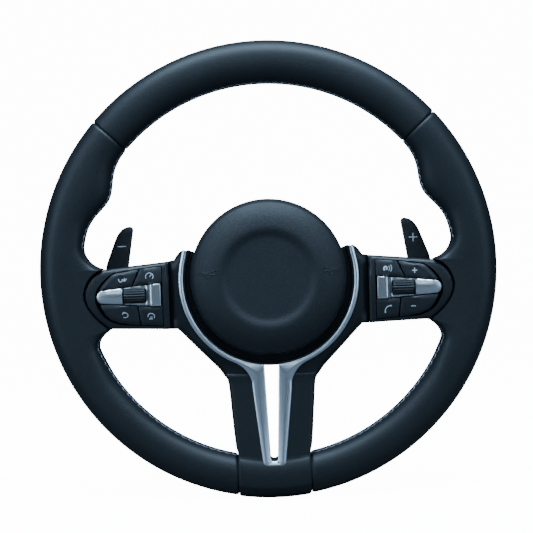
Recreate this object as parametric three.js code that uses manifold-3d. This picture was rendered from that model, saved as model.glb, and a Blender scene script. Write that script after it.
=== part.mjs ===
// Three-spoke sports steering wheel of a car, with airbag module, switch pods and shift paddles.
// Millimetres. X points right as the driver sees it, Y away from the driver along the steering axis,
// Z up. The origin is on the steering axis, on the hub's rear seat against the column.
import * as THREE from "three";
import { mergeVertices } from "three/addons/utils/BufferGeometryUtils.js";
import Module from "manifold-3d";

const wasm = await Module();
wasm.setup();

// ---- Driving dimensions -------------------------------------------------------------------------
const GAP = 0.3; // between pieces that rest on or in each other
const CURVE_STEPS = 5; // straight pieces in each round stretch of an outline

const RIM = { outer: 185, inner: 151, thinner: 0.9, centreY: -62, depth: 31, roundness: 2.3 };
const RIM_MESH = { sides: 12, steps: 60 };
const THUMB = { angle: 25.8, height: 10, spread: 5.46 }; // swelling of the inner edge, degrees above level
const LEATHER = 1.3; // leather thickness
const TOP_SEAM = 42; // degrees above level
const BOTTOM_SEAM_X = 29.5;
const FLARE = { front: -75, back: -49.5 }; // where the rim spreads into a side spoke

const CORE = { radius: 167.5, thickness: 5, sides: 6, steps: 36 };
const CORE_JOIN = { front: -65, inwards: 7, outwards: 3 }; // where a spoke runs into the rim's core
const ARM = { front: -57, back: -50.5, low: -27, high: -12, hubX: 34, foot: 10 }; // cast side spoke
const RAIL = { inner: 9, outer: 19, top: -44, bottom: -163, foot: 6, overlap: 10 }; // lower spoke's rails
const CAST_GAP = 0.4; // round the cast frame
const HUB = { radius: 44, front: -34, back: -26, bossRadius: 23, bossBack: -4 };
const INSERT = { radius: 16, bore: 9, tooth: 0.7, teeth: 24, front: -36, back: 0 };

const RING = { z: -7.5, inner: 68.9, outer: 72.9, endAngle: 20.5, forkAngle: -66 }; // silver ring
const SILVER = { front: -71.5, back: -67.5, linerWall: 1.2, linerBack: -48 };
const TRIM = { front: -70, plate: 4, back: -47.5, wall: 1.8, collarInner: 67.9, collarOuter: 69.6 };
const TRIM_RING = { inner: 59.5, outer: 63.4, front: -58, back: -50 }; // closed ring behind the cover's skirt
const LEAN = { top: -90, slope: 0.075 }; // the lower spoke's face comes forward below this height
const SPOKE_JOIN_Z = -84.2; // hub trim above, lower spoke skin below
const REAR = { front: -47.2, back: -45, bowlRadius: 63.4, floorRadius: 50, floor: -8, wall: 2, hole: 30 };

const COVER = { z: -6.1, radius: 63.4, edge: -76, dome: -84, skirtBack: -62, wall: 3, dish: 36.5 };
const PAN = { radius: 56, floorFront: -61.5, floorBack: -59.9, wallFront: -70, wall: 1.5 };
const GENERATOR = { z: -4, radius: 22, flange: 26, front: -61.8, back: -44 };
const HORN_PINS = [[-27, 24], [27, 24], [0, -38]]; // X and Z of the guide pins
const PIN = { radius: 2.5, head: 4.5, back: -25.7, headBack: -23, hole: 3.1, springWall: 1.3 };

const POD = { front: -72, back: -47.5, pocketFloor: -59.1, innerX: 80.6 };
const BOARD = { front: -61, back: -59.4 };
const BUTTON = { front: -73.5, back: -62.6 };
const BEZEL = { front: -75, back: -68 };
const ROLLER = { from: 99.6, to: 116.6, y: -69.3, z: -17.4, radius: 6.3, ribs: 12, bore: 1.35, axle: 1 };

const PADDLE = { front: -39, back: -35.5, pivotX: 74, pivotY: -37.5, barrel: 4, bore: 1.9, pin: 1.5 };
const SCREW = { head: 3, headHeight: 1.6, shank: 1.5, hole: 1.85, tip: -56 };
const SCREWS = { wing: [104, -36.6], lower: [14, -125] };
const LEAD = { radius: 1.5, sides: 8, steps: 22 };
const LEAD_PATH = [[80.2, -54.4, -36], [66, -54.4, -36], [54, -52, -35], [49, -42, -28], [47.5, -30, -13],
  [44, -19, 5], [35, -16.2, 21], [24, -16, 29], [12.5, -16, 30.5]];
const CONNECTOR = { halfWidth: 12, front: -25.4, back: -12, low: 25, high: 36, wall: 2, socket: 8 };
const ALL_Y = [-90, -30]; // deeper than the rim and the spokes, for cutting through them

// ---- Outlines -----------------------------------------------------------------------------------
// X and Z on the right-hand side. Four numbers are a round stretch: its control point, then its end.
const FLARE_OUTLINE = [[158, 34], [149.6, 26], [148.5, 7, 129.8, 3.8], [127.6, -44.2], [144, -50.5, 139.9,
  -61.5], [150, -72], [165, -60], [170, 0]];
const POD_OUTLINE = [[POD.innerX, 9.2], [112, 6.3], [129.8, 4.6], [145, 3.6, 148.8, -15], [149.2, -29.6,
  128.6, -44.6], [126.6, -43.8], [POD.innerX, -45.4]];
const POCKET_OUTLINE = [[85.4, 6.4], [104.5, 4.4], [124.6, 1.6], [135.5, -4.8, 139.4, -14.2], [139.8,
  -21.2], [135.4, -38.2, 118.4, -40.8], [85.4, -43]];
const BEZEL_OUTLINE = [[87.2, -8], [118.4, -10.9], [134.8, -12.8], [138.6, -13.6, 138.4, -18.2], [138,
  -22.6, 134.8, -22.9], [95.7, -25.8], [86.9, -25.9]];
const BUTTON_OUTLINES = {
  upper_inner: [[86, 5.7], [103.2, 4], [109.3, -9.5], [86, -7.3]],
  upper_outer: [[104.2, 3.9], [122.5, 1.2], [126, 0.6, 128, -1.8], [133.5, -6.8, 136.4, -12.3], [118.4,
    -10.3], [110.2, -9.6]],
  lower_inner: [[86, -26.6], [95.7, -26.5], [105.2, -25.8], [103.6, -41.4], [86, -42.3]],
  lower_outer: [[106, -25.7], [135.6, -23.6], [134.4, -30.4, 128.4, -35.9], [120.4, -40.4, 104.4, -41.3]],
};
const BLADE_OUTLINE = [[76, -13.4], [98, -11.5], [112, -10, 116.6, 2], [111.4, 34.2], [110.6, 38.2, 113.8,
  38.8], [122.4, 38.8, 127.2, 26], [134.2, 8], [137.6, -6, 134, -17], [128, -28, 114, -29], [76, -30.2]];
const TRIM_TOP = [61.4, 18.6];
const TRIM_SIDE = [[65.4, 18.2], [70.4, 17.4, 75.4, 10.2], [80.3, 9.5], [80.3, -45.6], [74.4, -45.6],
  [43.6, -78.2], [39, SPOKE_JOIN_Z]];
const SPOKE_SIDE = [[39, SPOKE_JOIN_Z - GAP], [35.7, -88.2], [34.7, -96.2], [31, -146], [29.2, -148.2],
  [29.2, -156]];
const SLOT_SIDE = [[6, -70], [2.7, -151.2], [2.5, -154.2, 0, -154.2]];
const SLOT_TOP = [5.7, -76.2]; // where the slot meets the inner edge of the silver ring
const FORK_SIDE = [[19.3, -78.9, 16.3, -90.2], [15.8, -98.2], [9.7, -154.6], [9.4, -158.6, 6, -158.6]];
const REAR_SIDE = [[55, 7.8], [80.6, 7.8], [112, 5], [126.4, 3.4], [126.4, -43.2], [80.6, -44.9], [74,
  -44.9], [43.2, -77.6], [35.2, -88], [30, -146], [0, -146]];

// ---- Finishes -----------------------------------------------------------------------------------
const finish = (color, roughness, metalness) => new THREE.MeshStandardMaterial({ color, roughness, metalness });
const LEATHER_FINISH = finish(0x1e272f, 0.55, 0);
const TRIM_FINISH = finish(0x15191e, 0.45, 0);
const COVER_FINISH = finish(0x1b2229, 0.6, 0);
const BUTTON_FINISH = finish(0x222831, 0.4, 0);
const SILVER_FINISH = finish(0xb9c0cc, 0.28, 1);
const CAST_FINISH = finish(0x9a9c9e, 0.5, 1);
const STEEL_FINISH = finish(0x84878c, 0.35, 1);
const FOAM_FINISH = finish(0x2b2b2b, 0.9, 0);
const BAG_FINISH = finish(0xd9d6cc, 0.9, 0);
const BOARD_FINISH = finish(0x1f4a33, 0.5, 0);
const CONNECTOR_FINISH = finish(0xd8a722, 0.5, 0);

// ---- Solids -------------------------------------------------------------------------------------
// Closed solid of a geometry, turned face out if its profile ran the other way.
function solid(geometry) {
  const bare = geometry.clone();
  bare.deleteAttribute("normal");
  bare.deleteAttribute("uv");
  const merged = mergeVertices(bare, 1e-4);
  const vertProperties = merged.attributes.position.array;
  const triVerts = new Uint32Array(merged.index.array);
  const made = new wasm.Manifold(new wasm.Mesh({ numProp: 3, vertProperties, triVerts }));
  if (made.volume() >= 0) {
    return made;
  }
  triVerts.reverse();
  return new wasm.Manifold(new wasm.Mesh({ numProp: 3, vertProperties, triVerts }));
}

const joined = (parts) => parts.reduce((whole, part) => whole.add(part));
const without = (whole, parts) => parts.reduce((rest, part) => rest.subtract(part), whole);

// Points of an outline in the X-Z plane: [x, z] is a corner and [controlX, controlZ, x, z] a round stretch.
function outline(entries, side = 1) {
  const path = new THREE.Path();
  path.moveTo(entries[0][0], entries[0][1]);
  for (const entry of entries.slice(1)) {
    if (entry.length === 4) {
      path.quadraticCurveTo(...entry);
    } else {
      path.lineTo(...entry);
    }
  }
  return path.getPoints(CURVE_STEPS).map((p) => new THREE.Vector2(side * p.x, p.y));
}

// The outline moved inwards by a distance, or outwards by a negative one.
function inset(points, distance) {
  const turn = THREE.ShapeUtils.isClockWise(points) ? -1 : 1;
  return points.map((p, i) => {
    const before = points[(i + points.length - 1) % points.length];
    const after = points[(i + 1) % points.length];
    const arriving = p.clone().sub(before).normalize();
    const leaving = after.clone().sub(p).normalize();
    const normal = new THREE.Vector2(-arriving.y - leaving.y, arriving.x + leaving.x).normalize();
    const reach = distance / Math.max(0.4, normal.dot(new THREE.Vector2(-leaving.y, leaving.x)));
    return p.clone().addScaledVector(normal, turn * reach);
  });
}

// Plate with an outline in the X-Z plane, from front (towards the driver) to back.
function plate(points, front, back) {
  const settings = { depth: back - front, bevelEnabled: false };
  const geometry = new THREE.ExtrudeGeometry(new THREE.Shape(points), settings);
  return solid(geometry.rotateX(Math.PI / 2).translate(0, back, 0));
}

// How far the lower spoke's face has come forward, at a height, to meet the rim's face.
const forward = (z) => Math.max(0, LEAN.top - z) * LEAN.slope;

// Plate whose front, and back where asked, comes forward towards the bottom of the lower spoke.
function leaningPlate(points, front, back, backToo = false) {
  const settings = { depth: back - front, bevelEnabled: false };
  const geometry = new THREE.ExtrudeGeometry(new THREE.Shape(points), settings);
  geometry.rotateX(Math.PI / 2).translate(0, back, 0);
  const place = geometry.attributes.position;
  const middle = (front + back) / 2;
  for (let i = 0; i < place.count; i++) {
    if (backToo || place.getY(i) < middle) {
      place.setY(i, place.getY(i) - forward(place.getZ(i)));
    }
  }
  return solid(geometry);
}

function block([x0, x1], [y0, y1], [z0, z1]) {
  const geometry = new THREE.BoxGeometry(Math.abs(x1 - x0), y1 - y0, z1 - z0);
  return solid(geometry.translate((x0 + x1) / 2, (y0 + y1) / 2, (z0 + z1) / 2));
}

// Round bar along Y.
function bar(radius, front, back, [x, z], sides = 16) {
  const geometry = new THREE.CylinderGeometry(radius, radius, back - front, sides);
  return solid(geometry.translate(x, (front + back) / 2, z));
}

const sleeve = (outer, inner, front, back, centre, sides = 16) =>
  bar(outer, front, back, centre, sides).subtract(bar(inner, front - 1, back + 1, centre, sides));

// Body turned about a line along Y: the profile lists [radius, y].
function turned(profile, z, segments = 32) {
  const points = profile.map(([radius, y]) => new THREE.Vector2(radius, y));
  return solid(new THREE.LatheGeometry(points, segments).translate(0, 0, z));
}

const degrees = THREE.MathUtils.degToRad;

// Points of an arc in the X-Z plane about the airbag's axis, from one angle to the other.
function arc(radius, centreZ, from, to, steps) {
  return Array.from({ length: steps + 1 }, (_, i) => {
    const angle = degrees(from + ((to - from) * i) / steps);
    return [radius * Math.cos(angle), centreZ + radius * Math.sin(angle)];
  });
}

const mirrored = (points) => points.map((p) => new THREE.Vector2(-p.x, p.y)).reverse();

// The right-hand side of an outline with its mirror image.
const bothSides = (right) => [...right, ...mirrored(right)];

// ---- Rim ----------------------------------------------------------------------------------------
// Inner edge of the rim at an angle above level, with the swelling that the thumbs rest on. The rim is a
// little thinner at the bottom than at the top.
function rimInner(angle) {
  const away = (angle - THUMB.angle) / THUMB.spread;
  return RIM.inner - RIM.thinner * Math.sin(degrees(angle)) - THUMB.height * Math.exp((-away * away) / 2);
}

// The whole rim, `under` mm below its surface: a ring whose section is a rounded rectangle that
// widens at the thumb grips.
function rimRing(under) {
  const ring = new THREE.TorusGeometry(2, 1, RIM_MESH.sides, RIM_MESH.steps);
  const place = ring.attributes.position;
  const rounded = (value) => Math.sign(value) * Math.abs(value) ** (2 / RIM.roundness);
  for (let i = 0; i < place.count; i++) {
    const around = Math.atan2(place.getY(i), place.getX(i));
    const across = Math.hypot(place.getX(i), place.getY(i)) - 2;
    const level = Math.atan2(Math.sin(around), Math.abs(Math.cos(around)));
    const inner = rimInner(THREE.MathUtils.radToDeg(level)) + under;
    const outer = RIM.outer - under;
    const radius = (inner + outer) / 2 + ((outer - inner) / 2) * rounded(across);
    const depth = (RIM.depth / 2 - under) * rounded(place.getZ(i));
    place.setXYZ(i, radius * Math.cos(around), RIM.centreY - depth, radius * Math.sin(around));
  }
  return solid(ring);
}

// Where the rim spreads towards a side spoke: a rounded crotch above and a fillet below.
function flare(side, under) {
  return plate(inset(outline(FLARE_OUTLINE, side), under), FLARE.front + under, FLARE.back - under);
}

const rimBody = (under) => joined([rimRing(under), flare(1, under), flare(-1, under)]);

// Room for a switch pod, and for its full height where it leaves the rim.
function podSpace(side) {
  const pod = plate(inset(outline(POD_OUTLINE, side), -GAP), ...ALL_Y);
  return pod.add(block([side * 120, side * 132.5], ALL_Y, [-60, 20]));
}

// ---- Armature -----------------------------------------------------------------------------------
function sideArm(side, room) {
  const z = [ARM.low - room, ARM.high + room];
  return joined([
    block([side * ARM.hubX, side * (CORE.radius + room)], [ARM.front - room, ARM.back + room], z),
    block([side * ARM.hubX, side * (ARM.hubX + ARM.foot)], [ARM.front - room, HUB.back], z),
    block([side * (CORE.radius - CORE_JOIN.inwards), side * (CORE.radius + CORE_JOIN.outwards)],
      [CORE_JOIN.front - room, ARM.back + room], z),
  ]);
}

function lowerRail(side, room) {
  const x = [side * (RAIL.inner - room), side * (RAIL.outer + room)];
  return joined([
    block(x, [ARM.front - room, ARM.back + room], [RAIL.bottom - room, RAIL.top]),
    block(x, [ARM.front - room, HUB.back], [RAIL.top - RAIL.foot, RAIL.top]),
    block(x, [HUB.front, HUB.back], [RAIL.top - RAIL.foot, RAIL.top + RAIL.overlap]),
    block(x, [CORE_JOIN.front - room, ARM.back + room],
      [-CORE.radius - CORE_JOIN.outwards, -CORE.radius + CORE_JOIN.inwards]),
  ]);
}

function arms(room) {
  return joined([sideArm(1, room), sideArm(-1, room), lowerRail(1, room), lowerRail(-1, room)]);
}

function rimCore(room) {
  const ring = new THREE.TorusGeometry(CORE.radius, CORE.thickness + room, CORE.sides, CORE.steps);
  return solid(ring.rotateX(Math.PI / 2).translate(0, RIM.centreY, 0));
}

function armature() {
  const hubPlate = bar(HUB.radius, HUB.front, HUB.back, [0, 0], 32);
  const boss = bar(HUB.bossRadius, HUB.front, HUB.bossBack, [0, 0], 24);
  const pinHoles = HORN_PINS.map((centre) => bar(PIN.hole, HUB.front - 1, HUB.back + 1, centre, 12));
  const screwHoles = [-1, 1].map((side) =>
    bar(SCREW.hole, SCREW.tip - 1, ARM.back + 1, [side * SCREWS.lower[0], SCREWS.lower[1]], 10));
  const insertHole = bar(INSERT.radius + GAP, INSERT.front - 1, INSERT.back, [0, 0], 24);
  return without(joined([hubPlate, boss, arms(0), rimCore(0)]), [insertHole, ...pinHoles, ...screwHoles]);
}

// Steel sleeve with a splined bore for the column's shaft.
function hubInsert() {
  const bore = Array.from({ length: 2 * INSERT.teeth }, (_, i) => {
    const radius = INSERT.bore + (i % 2 ? INSERT.tooth : 0);
    const angle = (i * Math.PI) / INSERT.teeth;
    return new THREE.Vector2(radius * Math.cos(angle), radius * Math.sin(angle));
  });
  const splines = plate(bore, INSERT.front - 1, INSERT.back + 1);
  return bar(INSERT.radius, INSERT.front, INSERT.back, [0, 0], 24).subtract(splines);
}

// ---- Rim coverings ------------------------------------------------------------------------------
// Room that the cast frame takes inside the foam and the leather.
const castRoom = arms(CAST_GAP);

function rimFoam() {
  const slot = slotSpace(SILVER.linerWall + GAP);
  const rooms = [rimCore(CAST_GAP), castRoom, podSpace(1), podSpace(-1), forkRecess(), slot];
  return without(rimBody(LEATHER + GAP), rooms);
}

const rimSkin = without(rimBody(0).subtract(rimBody(LEATHER)), [castRoom, podSpace(1), podSpace(-1)]);

// Wedge about the steering axis between two angles above level.
function sector(from, to) {
  const rimEdge = arc(RIM.outer + 20, 0, from, to, 6).map(([x, z]) => new THREE.Vector2(x, z));
  return plate([new THREE.Vector2(0, 0), ...rimEdge], ...ALL_Y);
}

const seamGap = THREE.MathUtils.radToDeg(GAP / 2 / CORE.radius);
const bottomCut = (room) => block([-BOTTOM_SEAM_X - room, BOTTOM_SEAM_X + room], ALL_Y, [-200, -120]);

function leatherTop() {
  return rimSkin.intersect(sector(TOP_SEAM + seamGap, 180 - TOP_SEAM - seamGap));
}

function leatherGrip(side) {
  const reach = side > 0 ? sector(-95, TOP_SEAM - seamGap) : sector(180 - TOP_SEAM + seamGap, 275);
  const half = block([side * 5, side * 200], ALL_Y, [-200, 200]);
  return rimSkin.intersect(reach).intersect(half).subtract(bottomCut(GAP / 2));
}

// The slot between the fork's prongs, open to the airbag's recess above.
const slotSide = outline(SLOT_SIDE);
const slotOutline = [...slotSide, ...mirrored(slotSide.slice(0, -1))];

function slotSpace(room) {
  return plate(inset(slotOutline, -room), ...ALL_Y);
}

// Bottom length of the rim with the skin of the lower spoke, open at the back.
function leatherBottom() {
  const rimPart = rimSkin.intersect(bottomCut(-GAP / 2));
  const edge = bothSides(outline(SPOKE_SIDE));
  const shell = leaningPlate(edge, TRIM.front, TRIM.back);
  const inside = leaningPlate(inset(edge, TRIM.wall), TRIM.front + TRIM.plate, TRIM.back + 1);
  const hollowY = [TRIM.front + TRIM.plate, TRIM.back + 1];
  const openTop = block([-34, 34], hollowY, [SPOKE_JOIN_Z - 5, SPOKE_JOIN_Z + 5]);
  const spoke = without(shell, [inside, openTop, rimBody(LEATHER)]);
  return without(spoke.add(rimPart), [castRoom, forkRecess(), slotSpace(SILVER.linerWall + GAP)]);
}

// ---- Hub trims ----------------------------------------------------------------------------------
// Ring round the airbag cover that runs down into a fork with two prongs.
function silverOutline() {
  const outer = outline([...arc(RING.outer, RING.z, RING.endAngle, RING.forkAngle, 14), ...FORK_SIDE]);
  const inner = outline(arc(RING.inner, RING.z, 180 - RING.endAngle - 1, 275, 14)).filter((p) => p.x < -6.5);
  const slotEnd = slotOutline.filter((p) => p.y < -100).reverse();
  const [slotX, slotZ] = SLOT_TOP;
  const slot = [new THREE.Vector2(-slotX, slotZ), ...slotEnd, new THREE.Vector2(slotX, slotZ)];
  return [...bothSides(outer), ...inner, ...slot, ...mirrored(inner)];
}

function forkRecess() {
  return leaningPlate(inset(silverOutline(), -GAP), SILVER.front - 6, SILVER.back + GAP, true);
}

function silverTrim() {
  const linerFront = (SILVER.front + SILVER.back) / 2;
  const liner = leaningPlate(inset(slotOutline, -SILVER.linerWall), linerFront, SILVER.linerBack);
  const below = block([-20, 20], ALL_Y, [-200, -77.5]);
  const face = leaningPlate(silverOutline(), SILVER.front, SILVER.back, true);
  return face.add(liner.intersect(below)).subtract(slotSpace(0));
}

// Dark mask round the airbag: a plate with side walls, a collar facing the cover and a closed ring behind.
function frontTrim() {
  const edge = bothSides(outline([TRIM_TOP, ...TRIM_SIDE]));
  const centre = [0, RING.z];
  const shell = plate(edge, TRIM.front, TRIM.back);
  const inside = plate(inset(edge, TRIM.wall), TRIM.front + TRIM.plate, TRIM.back + 1);
  const belowTop = block([-90, 90], ALL_Y, [-90, TRIM_TOP[1]]);
  const collar = sleeve(TRIM.collarOuter, TRIM.collarInner, TRIM.front, TRIM_RING.back, centre, 36);
  const flange = sleeve(TRIM.collarOuter, TRIM_RING.inner, TRIM_RING.back - 2, TRIM_RING.back, centre, 36);
  const ring = sleeve(TRIM_RING.outer, TRIM_RING.inner, TRIM_RING.front, TRIM_RING.back, centre, 36);
  const mask = shell.subtract(inside).subtract(bar(TRIM.collarOuter - 0.5, ...ALL_Y, centre, 36));
  const hollowY = [TRIM.front + TRIM.plate, TRIM.back + 1];
  const wallOpenings = [-1, 1].map((side) => block([side * 77, side * 83], hollowY, [-43, 7]));
  const openBottom = block([-36, 36], hollowY, [SPOKE_JOIN_Z - 2, SPOKE_JOIN_Z + 5]);
  const leadHoles = [-1, 1].map((side) => block([side * 50, side * 72], [-57, -49], [-39.5, -32]));
  const slot = block([-7.5, 7.5], ALL_Y, [-90, -73.9]);
  const lowerPart = joined([mask, collar, flange]).intersect(belowTop);
  const rooms = [...wallOpenings, openBottom, ...leadHoles, castRoom, forkRecess(), slot];
  return without(lowerPart.add(ring), rooms);
}

// Back of the hub and spokes: a bowl round the column's end with a flat panel behind each spoke.
function rearCover() {
  const panel = plate(bothSides(outline(REAR_SIDE)), REAR.front, REAR.back);
  const { bowlRadius, floorRadius, floor, wall } = REAR;
  const bowlFront = TRIM_RING.back + GAP;
  const bowl = turned([[bowlRadius, bowlFront], [bowlRadius, REAR.back + 1], [floorRadius + 6, floor - 6],
    [floorRadius, floor], [0, floor], [0, floor - wall], [floorRadius - 1, floor - wall],
    [floorRadius + 4, floor - 6.5],
    [bowlRadius - wall, REAR.back + 1], [bowlRadius - wall, bowlFront], [bowlRadius, bowlFront]], RING.z, 32);
  const inner = bar(bowlRadius - 1, REAR.front - 1, REAR.back + 1, [0, RING.z], 32);
  const holes = screwPlaces().map((centre) => bar(SCREW.hole, REAR.front - 1, REAR.back + 1, centre, 10));
  const columnHole = bar(REAR.hole, floor - 5, floor + 1, [0, 0], 32);
  return without(panel.subtract(inner).add(bowl), [columnHole, slotSpace(SILVER.linerWall + GAP), ...holes]);
}

function screwPlaces() {
  const { wing, lower } = SCREWS;
  return [[-wing[0], wing[1]], [wing[0], wing[1]], [-lower[0], lower[1]], [lower[0], lower[1]]];
}

function rearScrew(centre) {
  const headFront = REAR.back + 0.05;
  const head = bar(SCREW.head, headFront, headFront + SCREW.headHeight, centre, 14);
  const socket = bar(SCREW.head / 2, headFront + SCREW.headHeight / 2, headFront + 3, centre, 6);
  return head.subtract(socket).add(bar(SCREW.shank, SCREW.tip, headFront + 0.5, centre, 10));
}

// ---- Airbag module ------------------------------------------------------------------------------
// Domed cover with a shallow round dish, and a skirt that hides the pan.
function airbagCover() {
  const { radius, edge, dome, skirtBack, wall, dish } = COVER;
  return turned([[0, dome + 0.8], [dish - 3, dome + 1.2], [dish, dome + 0.3], [dish + 8, dome + 1.2],
    [52, dome + 3.4],
    [59.4, edge - 1.6], [62.4, edge + 1], [radius, edge + 4], [radius, skirtBack], [radius - wall, skirtBack],
    [radius - wall, edge + 5], [50, dome + 8], [dish, dome + 5], [0, dome + 5]], COVER.z, 32);
}

function airbagPan() {
  const { radius, floorFront, floorBack, wallFront, wall } = PAN;
  const pan = turned([[0, floorBack], [radius, floorBack], [radius, wallFront], [radius - wall, wallFront],
    [radius - wall, floorFront], [0, floorFront]], COVER.z, 32);
  return pan.subtract(bar(GENERATOR.radius + GAP, floorFront - 1, floorBack + 1, [0, GENERATOR.z], 24));
}

function foldedAirbag() {
  const half = [[0, -78.4], [38, -78.4], [48, -75], [52, -70], [52, -66], [49, -62.2], [0, -62.2]];
  return turned(half, COVER.z, 28);
}

function gasGenerator() {
  const { z, radius, flange, front, back } = GENERATOR;
  const body = bar(radius, front, back, [0, z], 24);
  return body.add(bar(flange, PAN.floorBack + GAP, PAN.floorBack + 2.3, [0, z], 24));
}

function hornPin(centre) {
  const shank = bar(PIN.radius, PAN.floorBack + GAP, PIN.back + 0.5, centre, 12);
  return shank.add(bar(PIN.head, PIN.back, PIN.headBack, centre, 12));
}

function hornSpring(centre) {
  const inner = PIN.radius + 0.8;
  return sleeve(inner + PIN.springWall, inner, PAN.floorBack + GAP, HUB.front - GAP, centre, 14);
}

// ---- Switch pods --------------------------------------------------------------------------------
const pocketOutline = (side) => outline(POCKET_OUTLINE, side);

// Round bar along X on the roller's axis.
function rollerBar(side, radius, from, to, sides = 12) {
  const geometry = new THREE.CylinderGeometry(radius, radius, to - from, sides).rotateZ(Math.PI / 2);
  return solid(geometry.translate((side * (from + to)) / 2, ROLLER.y, ROLLER.z));
}

// Two posts on the pocket's floor that hold the roller's axle.
function axlePosts(side, room) {
  const post = (x) =>
    block([side * (x - room), side * (x + 1.6 + room)], [POD.pocketFloor - 9.2, POD.pocketFloor + 0.1],
      [ROLLER.z - 4 - room, ROLLER.z + 4 + room]);
  return post(ROLLER.from - 2.2).add(post(ROLLER.to + 0.6));
}

function switchHousing(side) {
  const body = plate(outline(POD_OUTLINE, side), POD.front, POD.back);
  const pocket = plate(pocketOutline(side), POD.front - 1, POD.pocketFloor);
  const axleRoom = rollerBar(side, ROLLER.axle + GAP, ROLLER.from - 3, ROLLER.to + 3);
  const [screwX, screwZ] = SCREWS.wing;
  const screwHole = bar(SCREW.hole, SCREW.tip - 1, POD.back + 1, [side * screwX, screwZ], 10);
  return without(body.subtract(pocket).add(axlePosts(side, 0)), [axleRoom, castRoom, screwHole]);
}

function switchBoard(side) {
  const board = plate(inset(pocketOutline(side), 1), BOARD.front, BOARD.back);
  return board.subtract(axlePosts(side, GAP));
}

function button(side, corners) {
  return plate(inset(outline(corners, side), 0.1), BUTTON.front, BUTTON.back);
}

// Silver frame with a window for the roller, and room behind it for the drum and its posts.
function bezel(side) {
  const frame = plate(outline(BEZEL_OUTLINE, side), BEZEL.front, BEZEL.back + 1);
  const windowX = [side * (ROLLER.from - 1), side * (ROLLER.to + 1)];
  const window = block(windowX, ALL_Y, [ROLLER.z - 5.8, ROLLER.z + 5.8]);
  const drumRoom = rollerBar(side, ROLLER.radius + 0.5, ROLLER.from - 1, ROLLER.to + 1, 20);
  const postRoom = block([side * (ROLLER.from - 3), side * (ROLLER.to + 3)], [ROLLER.y - 1.4, -50],
    [ROLLER.z - 4.6, ROLLER.z + 4.6]);
  return without(frame, [window, drumRoom, postRoom]);
}

// Ridged roller that the thumb turns.
function roller(side) {
  const ribs = Array.from({ length: 2 * ROLLER.ribs }, (_, i) => {
    const radius = ROLLER.radius - (i % 2) * 0.6;
    const angle = (i * Math.PI) / ROLLER.ribs;
    return new THREE.Vector2(radius * Math.cos(angle), radius * Math.sin(angle));
  });
  const settings = { depth: ROLLER.to - ROLLER.from, bevelEnabled: false };
  const geometry = new THREE.ExtrudeGeometry(new THREE.Shape(ribs), settings);
  const left = side > 0 ? ROLLER.from : -ROLLER.to;
  const drum = solid(geometry.rotateY(Math.PI / 2).translate(left, ROLLER.y, ROLLER.z));
  return drum.subtract(rollerBar(side, ROLLER.bore, ROLLER.from - 1, ROLLER.to + 1));
}

// ---- Shift paddles ------------------------------------------------------------------------------
// Round bar along Z on the paddle's pivot.
function pivotBar(side, radius, low, high, sides = 14) {
  const geometry = new THREE.CylinderGeometry(radius, radius, high - low, sides).rotateX(Math.PI / 2);
  return solid(geometry.translate(side * PADDLE.pivotX, PADDLE.pivotY, (low + high) / 2));
}

// Blade with an upright horn for the fingers and a barrel round the pivot pin.
function paddle(side) {
  const blade = outline(BLADE_OUTLINE, side);
  const barrel = pivotBar(side, PADDLE.barrel, -30.2, -13.4);
  return plate(blade, PADDLE.front, PADDLE.back).add(barrel).subtract(pivotBar(side, PADDLE.bore, -40, 0));
}

function paddleBracket(side) {
  const x = [side * 69.5, side * 78];
  const front = REAR.back + GAP;
  const base = block(x, [front, front + 2.4], [-34, -4]);
  const ear = (low) => block(x, [front, PADDLE.pivotY + 3.5], [low, low + 3]);
  return without(joined([base, ear(-34), ear(-7)]), [pivotBar(side, PADDLE.pin + GAP, -40, 0)]);
}

const paddlePin = (side) => pivotBar(side, PADDLE.pin, -34.6, -3.4, 12);

// Torsion spring wound round the pin above the barrel.
function paddleSpring(side) {
  return pivotBar(side, 3.3, -12.8, -7.5).subtract(pivotBar(side, 2.2, -14, -6));
}

// Small switch that the paddle presses, with its plunger.
function paddleSwitch(side) {
  const front = REAR.back + GAP;
  const body = block([side * 86, side * 97], [front, front + 3.2], [-26, -15]);
  return body.add(bar(1.2, front + 1, front + 4.1, [side * 91.5, -20.5], 10));
}

// ---- Wiring -------------------------------------------------------------------------------------
function harnessConnector() {
  const { halfWidth, front, back, low, high, wall, socket } = CONNECTOR;
  const insideX = [-halfWidth + wall, halfWidth - wall];
  const inside = block(insideX, [back - socket, back + 1], [low + wall, high - wall]);
  return block([-halfWidth, halfWidth], [front, back], [low, high]).subtract(inside);
}

// Lead from a pod through the collar, round the hub plate and into the connector's side.
function harnessLead(side) {
  const path = new THREE.CatmullRomCurve3(LEAD_PATH.map(([x, y, z]) => new THREE.Vector3(side * x, y, z)));
  const section = new THREE.Shape(Array.from({ length: LEAD.sides }, (_, i) =>
    new THREE.Vector2(LEAD.radius, 0).rotateAround(new THREE.Vector2(), (2 * i * Math.PI) / LEAD.sides)));
  const settings = { steps: LEAD.steps, curveSegments: LEAD.sides, extrudePath: path, bevelEnabled: false };
  return solid(new THREE.ExtrudeGeometry(section, settings));
}

// ---- Assembly -----------------------------------------------------------------------------------
const wheel = new THREE.Group();

function add(name, body, material) {
  const result = body.getMesh();
  const geometry = new THREE.BufferGeometry();
  geometry.setAttribute("position", new THREE.BufferAttribute(new Float32Array(result.vertProperties), 3));
  geometry.setIndex(new THREE.BufferAttribute(new Uint32Array(result.triVerts), 1));
  const mesh = new THREE.Mesh(geometry, material);
  mesh.name = name;
  wheel.add(mesh);
}

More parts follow.
